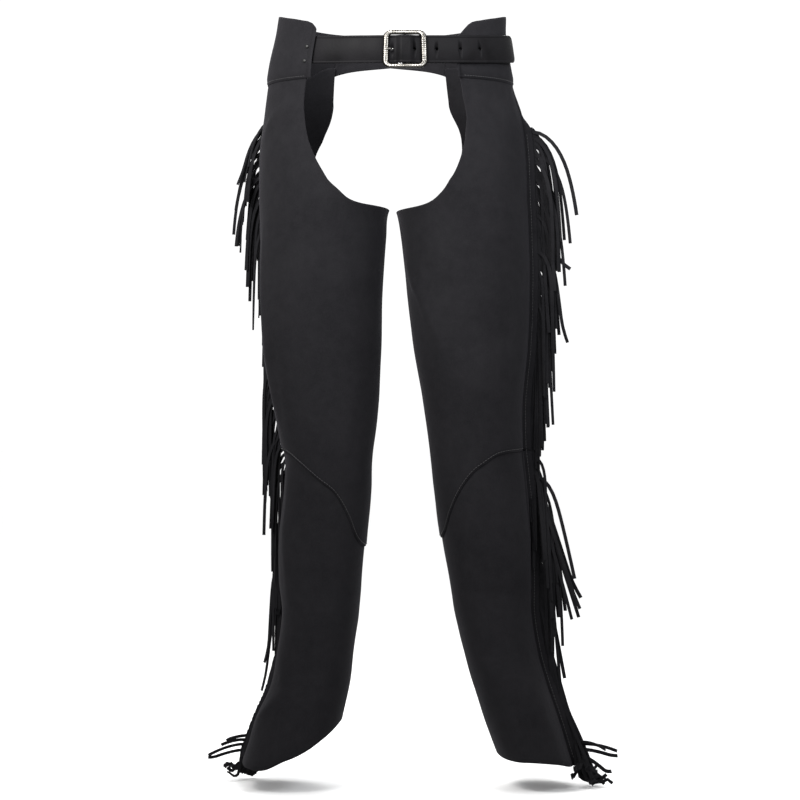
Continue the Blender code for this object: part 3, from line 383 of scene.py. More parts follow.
def crease_height(leg, point, angle, z, girth):
    """How far the smaller creases and the leather's own unevenness push it out."""
    fade = ease((WAIST_PLAIN - z) / 0.05)
    if fade == 0.0:
        return 0.0
    total = 0.0
    along = girth / 360.0
    for angle_1, z_1, angle_2, z_2, height, width in CREASES[leg.name]:
        if abs(z - (z_1 + z_2) / 2) > abs(z_1 - z_2) / 2 + 3 * width:
            continue
        turn = ((angle - angle_1 + 180.0) % 360.0 - 180.0) * along
        run_x, run_z = (angle_2 - angle_1) * along, z_2 - z_1
        size = run_x * run_x + run_z * run_z
        t = min(max((turn * run_x + (z - z_1) * run_z) / size, 0.0), 1.0)
        bow = 0.18 * width * math.sin(3.0 * math.pi * t)
        away = (math.hypot(turn - run_x * t, z - z_1 - run_z * t) + bow) / width
        if away < 2.6:
            total += height * math.exp(-away * away) * math.sin(math.pi * (0.12 + 0.76 * t))
    broad = noise.noise(Vector((point.x * 11.0, point.y * 11.0, z * 7.0 + leg.side * 3.0)))
    small = noise.noise(Vector((point.x * 34.0, point.y * 34.0, z * 26.0 + 9.0)))
    return fade * (total + UNEVEN_BROAD * broad + UNEVEN_SMALL * small)


WAIST_PLAIN = -0.058        # the leather lies plain above this, under the belt
UNEVEN_BROAD = 0.0016
UNEVEN_SMALL = 0.0005


def surface(leg, angle, z, out=0.0):
    """A point of the worn leather's outer face, with its normal in the level plane."""
    row = section(leg, z)
    centre_x = (row["outer"] + row["inner"]) / 2
    centre_y = (row["front"] + row["back"]) / 2
    half_x = abs(row["outer"] - row["inner"]) / 2
    half_y = (row["back"] - row["front"]) / 2
    turn = math.radians(angle)
    across = signed_power(math.cos(turn), 2 / CURVE_POWER)
    forward = signed_power(math.sin(turn), 2 / CURVE_POWER)
    normal = Vector((
        leg.side * signed_power(across, CURVE_POWER - 1) / half_x,
        -signed_power(forward, CURVE_POWER - 1) / half_y,
        0.0,
    )).normalized()
    point = Vector((centre_x + leg.side * half_x * across, centre_y - half_y * forward, z))
    girth = math.pi * (half_x + half_y)
    lift = fold_height(leg, angle, z, girth) + crease_height(leg, point, angle, z, girth)
    return point + normal * (out + lift), normal


def angle_of_x(leg, x, z):
    """The angle at which the front of the leg has this X."""
    row = section(leg, z)
    centre = (row["outer"] + row["inner"]) / 2
    half = abs(row["outer"] - row["inner"]) / 2
    share = min(max(leg.side * (x - centre) / half, -1.0), 1.0)
    return math.degrees(math.acos(signed_power(share, CURVE_POWER / 2)))


fill_creases()


def seam_frame(leg, z):
    """The outseam's point, its outward direction and the direction to the front."""
    point, normal = surface(leg, section(leg, z)["seam"], z)
    forward = Vector((normal.y, -normal.x, 0.0)) * leg.side
    return point, normal, forward


# The seam fin: two edges of the panel turned out, with the fringe between them
FIN_FACE = LEATHER + 2 * GAP + STRAND_THICK / 2
FIN_PART_TOP = -0.045
FIN_PART_END = -0.087
FIN_RISE_END = -0.1155


def fin_point(leg, z, layer, column):
    """A point of the outseam: layer 1 in front or -1 behind, column 0 at the edge."""
    point, normal, forward = seam_frame(leg, z)
    parted = ease((FIN_PART_TOP - z) / (FIN_PART_TOP - FIN_PART_END))
    risen = ease((FIN_PART_END - z) / (FIN_PART_END - FIN_RISE_END))
    if column == 0:
        side = lerp(2 * GAP, FIN_FACE, parted)
        out = SEAM_FIN * max(risen, 0.2 * parted)
    else:
        side = lerp(FIN_FACE + 0.0025, FIN_FACE, max(risen, 0.7 * parted))
        out = 0.0008 * risen
    return point + normal * out + forward * (side * layer)


def resample(points, count):
    """Points evenly spaced along a curve of angle and height, on a smooth line."""
    scale = 0.0016
    flat = [Vector((angle * scale, z)) for angle, z in points]
    dense = []
    for i in range(len(flat) - 1):
        before = flat[max(i - 1, 0)]
        after = flat[min(i + 2, len(flat) - 1)]
        start = (flat[i + 1] - before) / 2
        end = (after - flat[i]) / 2
        for n in range(12):
            t = n / 12
            dense.append(
                flat[i] * (1 + 2 * t) * (1 - t) ** 2 + flat[i + 1] * t * t * (3 - 2 * t)
                + start * t * (1 - t) ** 2 + end * t * t * (t - 1)
            )
    dense.append(flat[-1])
    length = [0.0]
    for a, b in zip(dense, dense[1:]):
        length.append(length[-1] + (b - a).length)
    result = []
    for n in range(count + 1):
        want = length[-1] * n / count
        i = max(k for k in range(len(length)) if length[k] <= want + 1e-9)
        i = min(i, len(dense) - 2)
        t = (want - length[i]) / (length[i + 1] - length[i])
        spot = dense[i].lerp(dense[i + 1], t)
        result.append((spot.x / scale, spot.y))
    return result


UNDER_YOKE_STEP = 12.0      # degrees from column to column under the yoke
EDGE_COLUMNS = 3            # columns that start on the upright part of the opening
SWEEP_COLUMNS = 8           # columns that start on its curve down to the crotch
EDGE_FOOT_ANGLE = 50.0      # where those columns end at the knee
SEAT_ANGLE = 64.0           # the seat's cut-out starts this far round the back
SEAM_MARGIN = 6.0           # degrees from the outseam to the first free column


def half_columns(leg, seam, way):
    """Columns of one half of a thigh, from the outseam to the inner leg.

    Each is the angle and height at its top, and its angle at the knee.
    way is 1 for the front half and -1 for the back half.
    """
    rows = leg.opening
    least = 0.0 if way > 0 else SEAT_ANGLE
    edge = [(max(angle_of_x(leg, x, z), least), z) for x, z in rows]
    edge.append((180.0, rows[-1][1] - 0.0045))
    corner = edge[0][0]
    corner_z = max(edge[0][1], smooth_row(YOKE_BOTTOM, corner * way, 1) + LAP)
    edge[0] = (corner, corner_z)
    start = seam + SEAM_MARGIN if way > 0 else -seam + SEAM_MARGIN
    edge_foot = EDGE_FOOT_ANGLE if way > 0 else SEAT_ANGLE - 4.0
    foot_mid = lerp(start, edge_foot, 0.55)
    count = max(2, round((corner - start) / UNDER_YOKE_STEP)) * COLUMN_FINE
    edge_count = EDGE_COLUMNS * COLUMN_FINE
    sweep_count = SWEEP_COLUMNS * COLUMN_FINE
    columns = []
    for i in range(count):
        t = i / count
        angle = lerp(start, corner, t)
        height = smooth_row(YOKE_BOTTOM, angle * way, 1) + LAP
        top = lerp(height, corner_z, ease(t))
        columns.append((angle, top, lerp(start, foot_mid, t)))
    curve = resample(edge, edge_count + sweep_count)
    for i, (angle, z) in enumerate(curve):
        if i <= edge_count:
            foot = lerp(foot_mid, edge_foot, i / edge_count)
        else:
            foot = lerp(edge_foot, 180.0, (i - edge_count) / sweep_count)
        columns.append((angle, z, foot))
    return columns


def leg_columns(leg):
    """All columns round a thigh, front outseam to back outseam, in true angles."""
    seam = section(leg, KNEE_SEAM_SIDE)["seam"]
    front = half_columns(leg, seam, 1)
    back = half_columns(leg, seam, -1)
    turned = [(360.0 - top, z, 360.0 - foot) for top, z, foot in back[:-1]]
    return front + turned[::-1]


def seam_turn(leg, z, angle, foot_seam):
    """Carries a column along with the outseam where that turns round the leg."""
    turn = section(leg, z)["seam"] - foot_seam
    near = 1.0 - ease(min(abs(angle - foot_seam), abs(angle - foot_seam - 360.0)) / 60.0)
    return angle + turn * near


THIGH_ROWS = 16 * ROW_FINE
SHIN_ROWS = 10 * ROW_FINE


def thigh_rows(leg):
    """The thigh panel's outer face, a row of points for each height."""
    columns = leg_columns(leg)
    seam = section(leg, KNEE_SEAM_SIDE)["seam"]
    seam_top = smooth_row(YOKE_BOTTOM, seam, 1) + LAP
    rows = []
    for n in range(THIGH_ROWS + 1):
        v = n / THIGH_ROWS
        down = v ** 1.15
        turn_share = 1.0 - (1.0 - v) ** 2
        z_seam = lerp(seam_top, KNEE_SEAM_SIDE, down)
        row = [fin_point(leg, z_seam, 1, 0), fin_point(leg, z_seam, 1, 1)]
        for top_angle, top_z, foot_angle in columns:
            foot_z = smooth_row(leg.knee, folded_angle(foot_angle), 1)
            z = lerp(top_z, foot_z, down)
            angle = lerp(top_angle, foot_angle, turn_share)
            angle = seam_turn(leg, z, angle, seam)
            row.append(surface(leg, angle, z)[0])
        row += [fin_point(leg, z_seam, -1, 1), fin_point(leg, z_seam, -1, 0)]
        rows.append(row)
    return rows


def shin_rows(leg, thigh):
    """The shin panel's outer face, which starts under the thigh panel's edge."""
    columns = leg_columns(leg)
    seam = section(leg, KNEE_SEAM_SIDE)["seam"]
    hem_side = smooth_row(leg.hem, 0, 1)
    top_side = KNEE_SEAM_SIDE - SEWN_BUTT
    under = -(LEATHER + 3 * GAP)
    rows = []
    for n in range(SHIN_ROWS + 1):
        v = max(n - 1, 0) / (SHIN_ROWS - 1)
        z_seam = lerp(top_side, hem_side, n / SHIN_ROWS)
        row = [fin_point(leg, z_seam, 1, 0), fin_point(leg, z_seam, 1, 1)]
        for i, (_, _, foot_angle) in enumerate(columns):
            from_seam = min(i, len(columns) - 1 - i)
            knee = smooth_row(leg.knee, folded_angle(foot_angle), 1)
            foot = smooth_row(leg.hem, folded_angle(foot_angle), 1)
            out = under * ease(from_seam / COLUMN_FINE) * (1.0 - ease(v / SHIN_EASE))
            z = lerp(knee - BELOW_SEAM, foot, v)
            angle = seam_turn(leg, z, foot_angle, seam)
            point, normal = surface(leg, angle, z, out)
            if n == 0 and from_seam > COLUMN_FINE:
                edge, above = thigh[-1][i + 2], thigh[-2][i + 2]
                point = edge.lerp(above, LAP / (above.z - edge.z)) + normal * out
            elif n == 0:
                point = surface(leg, angle, knee - SEWN_BUTT, out)[0]
            row.append(point)
        row += [fin_point(leg, z_seam, -1, 1), fin_point(leg, z_seam, -1, 0)]
        rows.append(row)
    return rows


YOKE_SINK = 0.0012          # the yoke's lower edge is pressed down onto the thigh by this much
YOKE_SKIVED = 0.0006        # and pared this much where it is sewn
YOKE_ROWS = 5 * ROW_FINE
YOKE_BACK_COLUMNS = 5 * COLUMN_FINE


def yoke_rows(leg):
    """A yoke's outer face, from its front edge round the side to the centre back."""
    seam = section(leg, KNEE_SEAM_SIDE)["seam"]
    front = [c for c in half_columns(leg, seam, 1) if c[1] > -0.045]
    back = [c for c in half_columns(leg, seam, -1) if c[1] > -0.045][:-1]
    angles = [c[0] for c in front[::-1]] + [seam] + [-c[0] for c in back]
    last = angles[-1]
    for i in range(1, YOKE_BACK_COLUMNS + 1):
        angles.append(lerp(last, -90.0, i / YOKE_BACK_COLUMNS))
    rows = []
    for n in range(YOKE_ROWS + 1):
        v = n / YOKE_ROWS
        row = []
        for i, angle in enumerate(angles):
            z = lerp(smooth_row(YOKE_TOP, angle, 1), smooth_row(YOKE_BOTTOM, angle, 1), v)
            above = z - smooth_row(YOKE_BOTTOM, angle, 1)
            out = YOKE_FACE - YOKE_SINK * ease(1.0 - above / 0.012)
            point = surface(leg, angle, z, out)[0]
            if i == len(angles) - 1:
                centre = (section(leg, z)["outer"] + section(leg, z)["inner"]) / 2
                point.x = centre + leg.side * SEWN_BUTT / 2
            row.append(point)
        rows.append(row)
    return rows


STRIP_INNER = 0.0050        # the strip starts this far out from the leg
STRIP_SHOWS = 0.003         # and this far out of the seam's edges
WAIST = -0.012              # height at which places along the waist are named by their X

# How far out from the thigh panels' face each layer at the waist lies
YOKE_FACE = LEATHER + 5 * GAP
UNDER_YOKE = YOKE_FACE - LEATHER - 6 * GAP
OVER_YOKE = YOKE_FACE + 2 * GAP
FLAT_OUT = OVER_YOKE + STRAP_THICK / 2
FRAME_OUT = OVER_YOKE + STRAP_THICK + GAP + BUCKLE_THICK / 2
BAR_OUT = FRAME_OUT - 0.0040
HUMP_OUT = BAR_OUT + BAR_RADIUS + 2 * PRONG_RADIUS + 2 * GAP + STRAP_THICK / 2
FOLD_RADIUS = BAR_RADIUS + GAP + FOLD_THICK / 2
PRONG_BEND = BAR_RADIUS + GAP + PRONG_RADIUS
FRAME_TOP = FRAME_OUT + BUCKLE_THICK / 2 + GAP + PRONG_RADIUS

# The billet's middle line: X from the buckle's middle, and how far out
BILLET_ROUTE = (
    (-0.200, UNDER_YOKE - STRAP_THICK / 2),
    (-0.107, UNDER_YOKE - STRAP_THICK / 2),
    (-0.056, FLAT_OUT - 0.002),
    (-0.034, FLAT_OUT),
    (-0.0135, FLAT_OUT),
    (-0.0040, HUMP_OUT),
    (0.0045, HUMP_OUT),
    (0.0165, FLAT_OUT),
    (0.034, FLAT_OUT),
    (0.118, FLAT_OUT),
    (0.142, FLAT_OUT + 0.0035),
)
BILLET_START_X = -0.138
BILLET_TIP_ANGLE = 177.0
BILLET_STEPS = (8, 16, 16)  # up to the buckle, through it, and on to the tip
BUCKLE_ZONE = 0.023         # the middle one reaches this far either side

# The buckle's strap round the bar: X from the buckle's middle, and how far out.
# It comes from under the left yoke, and its turned end lies on itself.
FOLD_BACK = (
    (0.130, UNDER_YOKE - FOLD_THICK / 2),
    (0.100, UNDER_YOKE - FOLD_THICK / 2),
    (0.073, UNDER_YOKE - FOLD_THICK / 2),
    (0.050, 0.0),
    (0.017, 0.0),
    (0.0105, 0.0010),
    (0.0045, BAR_OUT - FOLD_RADIUS - 0.0002),
)
FOLD_FRONT = (
    (0.0035, BAR_OUT + FOLD_RADIUS - 0.0002),
    (0.0095, 0.0046),
    (0.0160, FLAT_OUT - 0.0030),
    (0.042, FLAT_OUT - 0.0030),
)

# The prong's middle line after its loop, in the same terms
PRONG_ROUTE = (
    (-0.0150, OVER_YOKE - 0.0017),
    (-0.0168, OVER_YOKE + 0.0003),
    (-0.0174, OVER_YOKE + STRAP_THICK),
    (-0.0186, FRAME_TOP - 0.0016),
    (-0.0206, FRAME_TOP),
    (-0.0254, FRAME_TOP),
)


def waist_angle(x):
    """The angle on the right leg's table at which the waist's front has this X."""
    return angle_of_x(RIGHT, x, WAIST)


def waist_point(angle, rise, out):
    """A point by the belt: rise above its middle, and out from the panels' face.

    The belt is straight across its width, between the surface at its two edges.
    """
    middle = BELT_TILT * surface(RIGHT, angle, WAIST)[0].y
    upper, upper_normal = surface(RIGHT, angle, middle + STRAP_WIDTH / 2)
    lower, lower_normal = surface(RIGHT, angle, middle - STRAP_WIDTH / 2)
    share = 0.5 + rise / STRAP_WIDTH
    return lower.lerp(upper, share) + lower_normal.lerp(upper_normal, 0.5).normalized() * out


def route_out(rows, x):
    """How far out a route lies at an X, level at each of its rows."""
    for (x_1, out_1), (x_2, out_2) in zip(rows, rows[1:]):
        if x <= x_2:
            return lerp(out_1, out_2, ease((x - x_1) / (x_2 - x_1)))
    return rows[-1][1]


def buckle_point(x, rise, out):
    return waist_point(waist_angle(BUCKLE_X + x), rise, out)


def line_normals(path):
    """Sideways directions of a bent line, lengthened at its bends."""
    normals = []
    for n, (x, y) in enumerate(path):
        before = path[max(n - 1, 0)]
        after = path[min(n + 1, len(path) - 1)]
        back = Vector((x - before[0], y - before[1])).normalized()
        ahead = Vector((after[0] - x, after[1] - y)).normalized()
        middle = (back + ahead).normalized()
        stretch = 1.0 / max(middle.dot(ahead if ahead.length > 0 else back), 0.5)
        normals.append(Vector((-middle.y, middle.x)) * stretch)
    return normals


def bar_arc(radius, first, last, steps):
    """Points round the buckle's bar, by degrees from the wearer's left."""
    points = []
    for n in range(steps + 1):
        turn = math.radians(lerp(first, last, n / steps))
        points.append((radius * math.cos(turn), BAR_OUT + radius * math.sin(turn)))
    return points


# Looks
def shader_of(name):
    made = bpy.data.materials.new(name)
    made.use_nodes = True
    tree = made.node_tree
    return made, tree, tree.nodes["Principled BSDF"]


def put(node, name, value):
    """Sets a socket, or links one to it."""
    socket = node.inputs[name]
    if isinstance(value, bpy.types.NodeSocket):
        node.id_data.links.new(value, socket)
    else:
        socket.default_value = value


def noise_node(tree, coords, scale, detail=3.0, roughness=0.55):
    node = tree.nodes.new("ShaderNodeTexNoise")
    put(node, "Vector", coords)
    put(node, "Scale", scale)
    put(node, "Detail", detail)
    put(node, "Roughness", roughness)
    return node.outputs["Fac"]


def spread(tree, value, low, high, to_low=0.0, to_high=1.0):
    node = tree.nodes.new("ShaderNodeMapRange")
    put(node, "Value", value)
    put(node, "From Min", low)
    put(node, "From Max", high)
    put(node, "To Min", to_low)
    put(node, "To Max", to_high)
    return node.outputs["Result"]


def mix_colour(tree, share, first, second):
    node = tree.nodes.new("ShaderNodeMix")
    node.data_type = "RGBA"
    put(node, 0, share)
    put(node, 6, first)
    put(node, 7, second)
    return node.outputs[2]


def arithmetic(tree, kind, first, second):
    node = tree.nodes.new("ShaderNodeMath")
    node.operation = kind
    put(node, 0, first)
    put(node, 1, second)
    return node.outputs[0]


def attribute(tree, name):
    node = tree.nodes.new("ShaderNodeAttribute")
    node.attribute_name = name
    return node.outputs["Fac"]


def bump(tree, height, strength, distance, under=None):
    node = tree.nodes.new("ShaderNodeBump")
    put(node, "Height", height)
    put(node, "Strength", strength)
    put(node, "Distance", distance)
    if under is not None:
        put(node, "Normal", under)
    return node.outputs["Normal"]


def object_coords(tree):
    return tree.nodes.new("ShaderNodeTexCoord").outputs["Object"]


def suede(name, dark, light, edged):
    """Matte napped black leather: soft mottling, a short nap, and paler cut edges."""
    made, tree, shader = shader_of(name)
    coords = object_coords(tree)
    broad = noise_node(tree, coords, 11.0, 4.0, 0.6)
    brushed = noise_node(tree, coords, 75.0, 3.0, 0.6)
    nap = noise_node(tree, coords, 900.0, 2.0, 0.7)
    tone = arithmetic(tree, "ADD", arithmetic(tree, "MULTIPLY", broad, 0.62),
                      arithmetic(tree, "MULTIPLY", brushed, 0.38))
    share = spread(tree, tone, 0.36, 0.64)
    colour = mix_colour(tree, share, (*dark, 1.0), (*light, 1.0))
    fleck = spread(tree, nap, 0.35, 0.70, 0.0, 0.35)
    colour = mix_colour(tree, fleck, colour, tuple(c * 1.9 for c in light) + (1.0,))
    if edged:
        worn = spread(tree, attribute(tree, "edge"), 0.0, 0.0014, 0.06, 0.0)
        colour = mix_colour(tree, worn, colour, (0.016, 0.0155, 0.017, 1.0))
    put(shader, "Base Color", colour)
    put(shader, "Roughness", 0.95)
    put(shader, "Specular IOR Level", 0.03)
    put(shader, "Sheen Weight", 0.03)
    put(shader, "Sheen Roughness", 0.42)
    put(shader, "Sheen Tint", (0.62, 0.60, 0.68, 1.0))
    normal = bump(tree, brushed, 0.35, 0.0010)
    normal = bump(tree, nap, 0.55, 0.0004, normal)
    if edged:
        groove = spread(tree, arithmetic(tree, "ABSOLUTE", arithmetic(
            tree, "SUBTRACT", attribute(tree, "edge"), STITCH_IN), 0.0), 0.0, 0.0016)
        normal = bump(tree, groove, 0.30, 0.0004, normal)
    put(shader, "Normal", normal)
    return made


def smooth_leather():
    """The belt's black finished leather, with fine grain and a soft gloss."""
    made, tree, shader = shader_of("black belt leather")
    coords = object_coords(tree)
    cells = tree.nodes.new("ShaderNodeTexVoronoi")
    put(cells, "Vector", coords)
    put(cells, "Scale", 620.0)
    grain = cells.outputs["Distance"]
    rub = noise_node(tree, coords, 26.0, 4.0, 0.6)
    fine = noise_node(tree, coords, 260.0, 3.0, 0.6)
    put(shader, "Base Color", mix_colour(
        tree, spread(tree, rub, 0.35, 0.65),
        (0.0024, 0.0023, 0.0026, 1.0), (0.0042, 0.0040, 0.0045, 1.0)))
    put(shader, "Roughness", spread(tree, rub, 0.3, 0.7, 0.46, 0.62))
    put(shader, "Specular IOR Level", 0.03)
    put(shader, "Normal", bump(tree, grain, 0.22, 0.0003, bump(tree, fine, 0.25, 0.0005)))
    return made


def thread():
    made, tree, shader = shader_of("black thread")
    twist = noise_node(tree, object_coords(tree), 2400.0, 2.0)
    put(shader, "Base Color", mix_colour(
        tree, twist, (0.004, 0.004, 0.0045, 1.0), (0.013, 0.0125, 0.014, 1.0)))
    put(shader, "Roughness", 0.6)
    put(shader, "Normal", bump(tree, twist, 0.4, 0.0002))
    return made


def silver(name, bright, dark, engraved_and_painted_reflections, polish):
    """Polished plated metal with hairline wear; on a frame, painted reflections darken its edges and
    streak its bars, and its edges are cut.
    """
    made, tree, shader = shader_of(name)
    coords = object_coords(tree)
    wear = noise_node(tree, coords, 320.0, 4.0, 0.6)
    cloud = noise_node(tree, coords, 150.0, 2.0, 0.5)
    share = spread(tree, cloud, 0.38, 0.62)
    if engraved_and_painted_reflections:
        # Painted reflections: the base colour is darkened along the frame's inner and outer edges and
        # in streaks along its bars
        across = attribute(tree, "across")
        from_middle = arithmetic(tree, "ABSOLUTE", arithmetic(tree, "SUBTRACT", across, 0.52), 0.0)
        painted_reflection_rim = spread(tree, from_middle, 0.08, 0.34)
        lines = tree.nodes.new("ShaderNodeCombineXYZ")
        put(lines, "X", arithmetic(tree, "MULTIPLY", attribute(tree, "around"), 9.0))
        put(lines, "Y", arithmetic(tree, "MULTIPLY", across, 7.0))
        streak = noise_node(tree, lines.outputs["Vector"], 1.0, 2.0, 0.5)
        painted_reflection_streaks = spread(tree, streak, 0.44, 0.62)
        share = arithmetic(tree, "MAXIMUM", painted_reflection_rim, arithmetic(tree, "MULTIPLY", painted_reflection_streaks, 0.85))
    put(shader, "Metallic", 1.0)
    put(shader, "Base Color", mix_colour(tree, share, (*bright, 1.0), (*dark, 1.0)))
    put(shader, "Roughness", spread(tree, wear, 0.3, 0.7, polish, polish + 0.15))
    normal = bump(tree, wear, 0.12, 0.0003)
    if engraved_and_painted_reflections:
        wave = arithmetic(
            tree, "SINE", arithmetic(tree, "MULTIPLY", attribute(tree, "around"), math.tau * 46), 0.0)
        dip = arithmetic(tree, "MULTIPLY", wave, spread(tree, from_middle, 0.10, 0.34, 1.0, 0.0))
        normal = bump(tree, dip, 0.35, 0.0004, normal)
    put(shader, "Normal", normal)
    return made


SUEDE = suede("black suede", (0.0042, 0.0041, 0.0047), (0.0068, 0.0066, 0.0074), True)
FRINGE_SUEDE = suede("black fringe suede", (0.0036, 0.0036, 0.0041), (0.0066, 0.0065, 0.0072), False)
BELT_LEATHER = smooth_leather()
THREAD = thread()
# The frame's dark colour is painted reflection, laid on its edges and in streaks along its bars
FRAME_METAL = silver("engraved silver", (0.175, 0.168, 0.154), (0.016, 0.015, 0.013), True, 0.24)
PLAIN_METAL = silver("plain silver", (0.20, 0.192, 0.176), (0.10, 0.096, 0.088), False, 0.24)
RIVET_METAL = silver("dark nickel", (0.030, 0.030, 0.030), (0.015, 0.015, 0.015), False, 0.42)


# Pieces
def place(name, shape, look, node, slot, sharp=40.0):
    """A finished piece from a bmesh, in the place of a node of the frame or going with it."""
    mesh = bpy.data.meshes.new(name)
    shape.to_mesh(mesh)
    shape.free()
    mesh.materials.append(look)
    mesh.shade_smooth()
    mesh.set_sharp_from_angle(angle=math.radians(sharp))
    made = bpy.data.objects.new(name, mesh)
    bpy.context.scene.collection.objects.link(made)
    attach(made, BODY)
    if node is not None:
        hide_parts(node)
    return made


def panel(name, rows, flip, node, skive=0.0, skive_run=0.010):
    """A leather panel from a fine grid of its outer face, with its wall inside.

    skive is the share of the wall that is pared away at its lowest edge.
    """
    shape = bmesh.new()
    edge = shape.verts.layers.float.new("edge")
    grid = []
    lengths = []
    for i in range(len(rows[0])):
        run = [0.0]
        for upper, lower in zip(rows, rows[1:]):
            run.append(run[-1] + (lower[i] - upper[i]).length)
        lengths.append(run)
    for n, row in enumerate(rows):
        made = []
        for i, point in enumerate(row):
            vert = shape.verts.new(point)
            run = lengths[i]
            vert[edge] = min(run[-1] - run[n], run[n] + 0.01)
            made.append(vert)
        grid.append(made)
    for upper, lower in zip(grid, grid[1:]):
        for i in range(len(upper) - 1):
            corners = [upper[i], lower[i], lower[i + 1], upper[i + 1]]
            shape.faces.new(corners[::-1] if flip else corners)
    made = place(name, shape, SUEDE, node, "suede", 50.0)
    wall = made.modifiers.new("wall", "SOLIDIFY")
    wall.thickness = LEATHER
    wall.offset = -1.0
    bpy.ops.object.select_all(action="DESELECT")
    bpy.context.view_layer.objects.active = made
    made.select_set(True)
    bpy.ops.object.modifier_apply(modifier="wall")
    made.select_set(False)
    count = len(rows) * len(rows[0])
    verts = made.data.vertices
    for i in range(count):
        below = made.data.attributes["edge"].data[i].value
        if skive > 0.0 and below < skive_run and i >= count // 2:
            share = skive * (1.0 - below / skive_run) ** 2
            verts[i].co = verts[i].co.lerp(verts[i + count].co, share)
    return made


def loft(name, rings, look, node, slot, closed=False, sharp=40.0):
    shape = bmesh.new()
    made = [[shape.verts.new(point) for point in ring] for ring in rings]
    for a, b in zip(made, made[1:] + made[:1] if closed else made[1:]):
        for i in range(len(a)):
            j = (i + 1) % len(a)
            shape.faces.new([a[i], a[j], b[j], b[i]])
    if not closed:
        shape.faces.new(made[0][::-1])
        shape.faces.new(made[-1])
    bmesh.ops.recalc_face_normals(shape, faces=shape.faces)
    return place(name, shape, look, node, slot, sharp)


# Sewing
STITCH_STEP = 0.0042
STITCH_LENGTH = 0.0031
STITCH_RADIUS = 0.00042


def stitches(name, lines):
    """Short threads along lines of (point, outward direction)."""
    shape = bmesh.new()
    for line in lines:
        run = 0.0
        want = STITCH_STEP / 2
        for (a, out_a), (b, out_b) in zip(line, line[1:]):
            length = (b - a).length
            while length > 0 and want <= run + length:
                t = (want - run) / length
                want += STITCH_STEP
                along = (b - a).normalized()
                outward = out_a.lerp(out_b, t).normalized()
                side = along.cross(outward).normalized()
                middle = a.lerp(b, t) + outward * (STITCH_RADIUS * 0.35)
                rings = []
                for share, thick in ((-0.5, 0.35), (-0.3, 1.0), (0.3, 1.0), (0.5, 0.35)):
                    centre = middle + along * (STITCH_LENGTH * share)
                    rings.append([
                        shape.verts.new(
                            centre + side * (STITCH_RADIUS * thick * math.cos(math.tau * k / 6))
                            + outward * (STITCH_RADIUS * thick * math.sin(math.tau * k / 6)))
                        for k in range(6)])
                for first, second in zip(rings, rings[1:]):
                    for k in range(6):
                        j = (k + 1) % 6
                        shape.faces.new([first[k], first[j], second[j], second[k]])
                shape.faces.new(rings[0][::-1])
                shape.faces.new(rings[-1])
            run += length
    bmesh.ops.recalc_face_normals(shape, faces=shape.faces)
    return place(name, shape, THREAD, None, "suede")


def line_above(rows, height, lift):
    """A line on a grid's outer face, this far above its lowest row."""
    line = []
    for i in range(2, len(rows[0]) - 2):
        run = 0.0
        for n in range(len(rows) - 1, 0, -1):
            low, high = rows[n][i], rows[n - 1][i]
            length = (high - low).length
            if run + length >= height:
                spot = low.lerp(high, (height - run) / length)
                break
            run += length
        ahead = rows[n][min(i + 1, len(rows[0]) - 3)] - rows[n][max(i - 1, 2)]
        outward = ahead.cross(high - low).normalized()
        line.append((spot, outward))
    return [(spot + outward * lift, outward) for spot, outward in line]


def outward_line(leg, line):
    """The same line with its directions turned away from the leg."""
    turned = []
    for spot, outward in line:
        row = section(leg, spot.z)
        middle = Vector(((row["outer"] + row["inner"]) / 2, (row["front"] + row["back"]) / 2, spot.z))
        turned.append((spot, outward if outward.dot(spot - middle) > 0 else -outward))
    return turned


# The free fringe
VISUAL_PITCH = 0.0057
VISUAL_WIDTH = 0.0047
VISUAL_THICK = 0.0015
VISUAL_STEPS = 13
LEG_CLEARANCE = 0.004
GROUND_SLIDE = 0.62         # strands on the ground lie in small waves, so they reach less far
GROUND_WAVE = 0.006
GROUND_HEAP = 0.024         # the last ones lie on each other, up to this high
GROUND_RUN = 0.045          # the lowest are cut shorter, to lie this far along the ground
GROUND = -1.0290

# How the strands hang: height of the root, how slowly they fall (low and high), how
# far they lean out (low and high), how far down they point at once (low and high),
# and how many degrees to the front they turn, and how far round that
SWING_COLUMNS = 9
LEFT_SWING = (
    (-0.110, 0.014, 0.038, 0.00, 0.08, 0.1, 0.9, 0, 32),
    (-0.170, 0.010, 0.034, 0.00, 0.07, 0.0, 0.9, 0, 34),
    (-0.230, 0.009, 0.030, 0.00, 0.10, 0.3, 1.0, 0, 34),
    (-0.300, 0.008, 0.020, 0.00, 0.07, 0.3, 0.9, 0, 34),
    (-0.380, 0.006, 0.014, -0.02, 0.05, 0.4, 1.1, 0, 34),
    (-0.440, 0.003, 0.008, -0.04, 0.03, 0.5, 1.2, 0, 34),
    (-0.550, 0.003, 0.006, -0.04, 0.02, 0.5, 1.2, 0, 34),
    (-0.590, 0.008, 0.022, 0.00, 0.12, 0.2, 0.9, 0, 30),
    (-0.660, 0.010, 0.024, 0.00, 0.14, 0.3, 0.9, 0, 30),
    (-0.740, 0.006, 0.018, -0.02, 0.10, 0.4, 1.1, 0, 34),
    (-0.810, 0.003, 0.008, 0.10, 0.30, 0.6, 1.2, 0, 26),
    (-0.900, 0.003, 0.006, 0.28, 0.46, 0.5, 1.0, 4, 26),
    (-0.950, 0.003, 0.012, 0.10, 0.55, 0.4, 1.1, 20, 60),
    (-1.000, 0.003, 0.014, 0.00, 0.50, 0.3, 1.1, 30, 75),
)
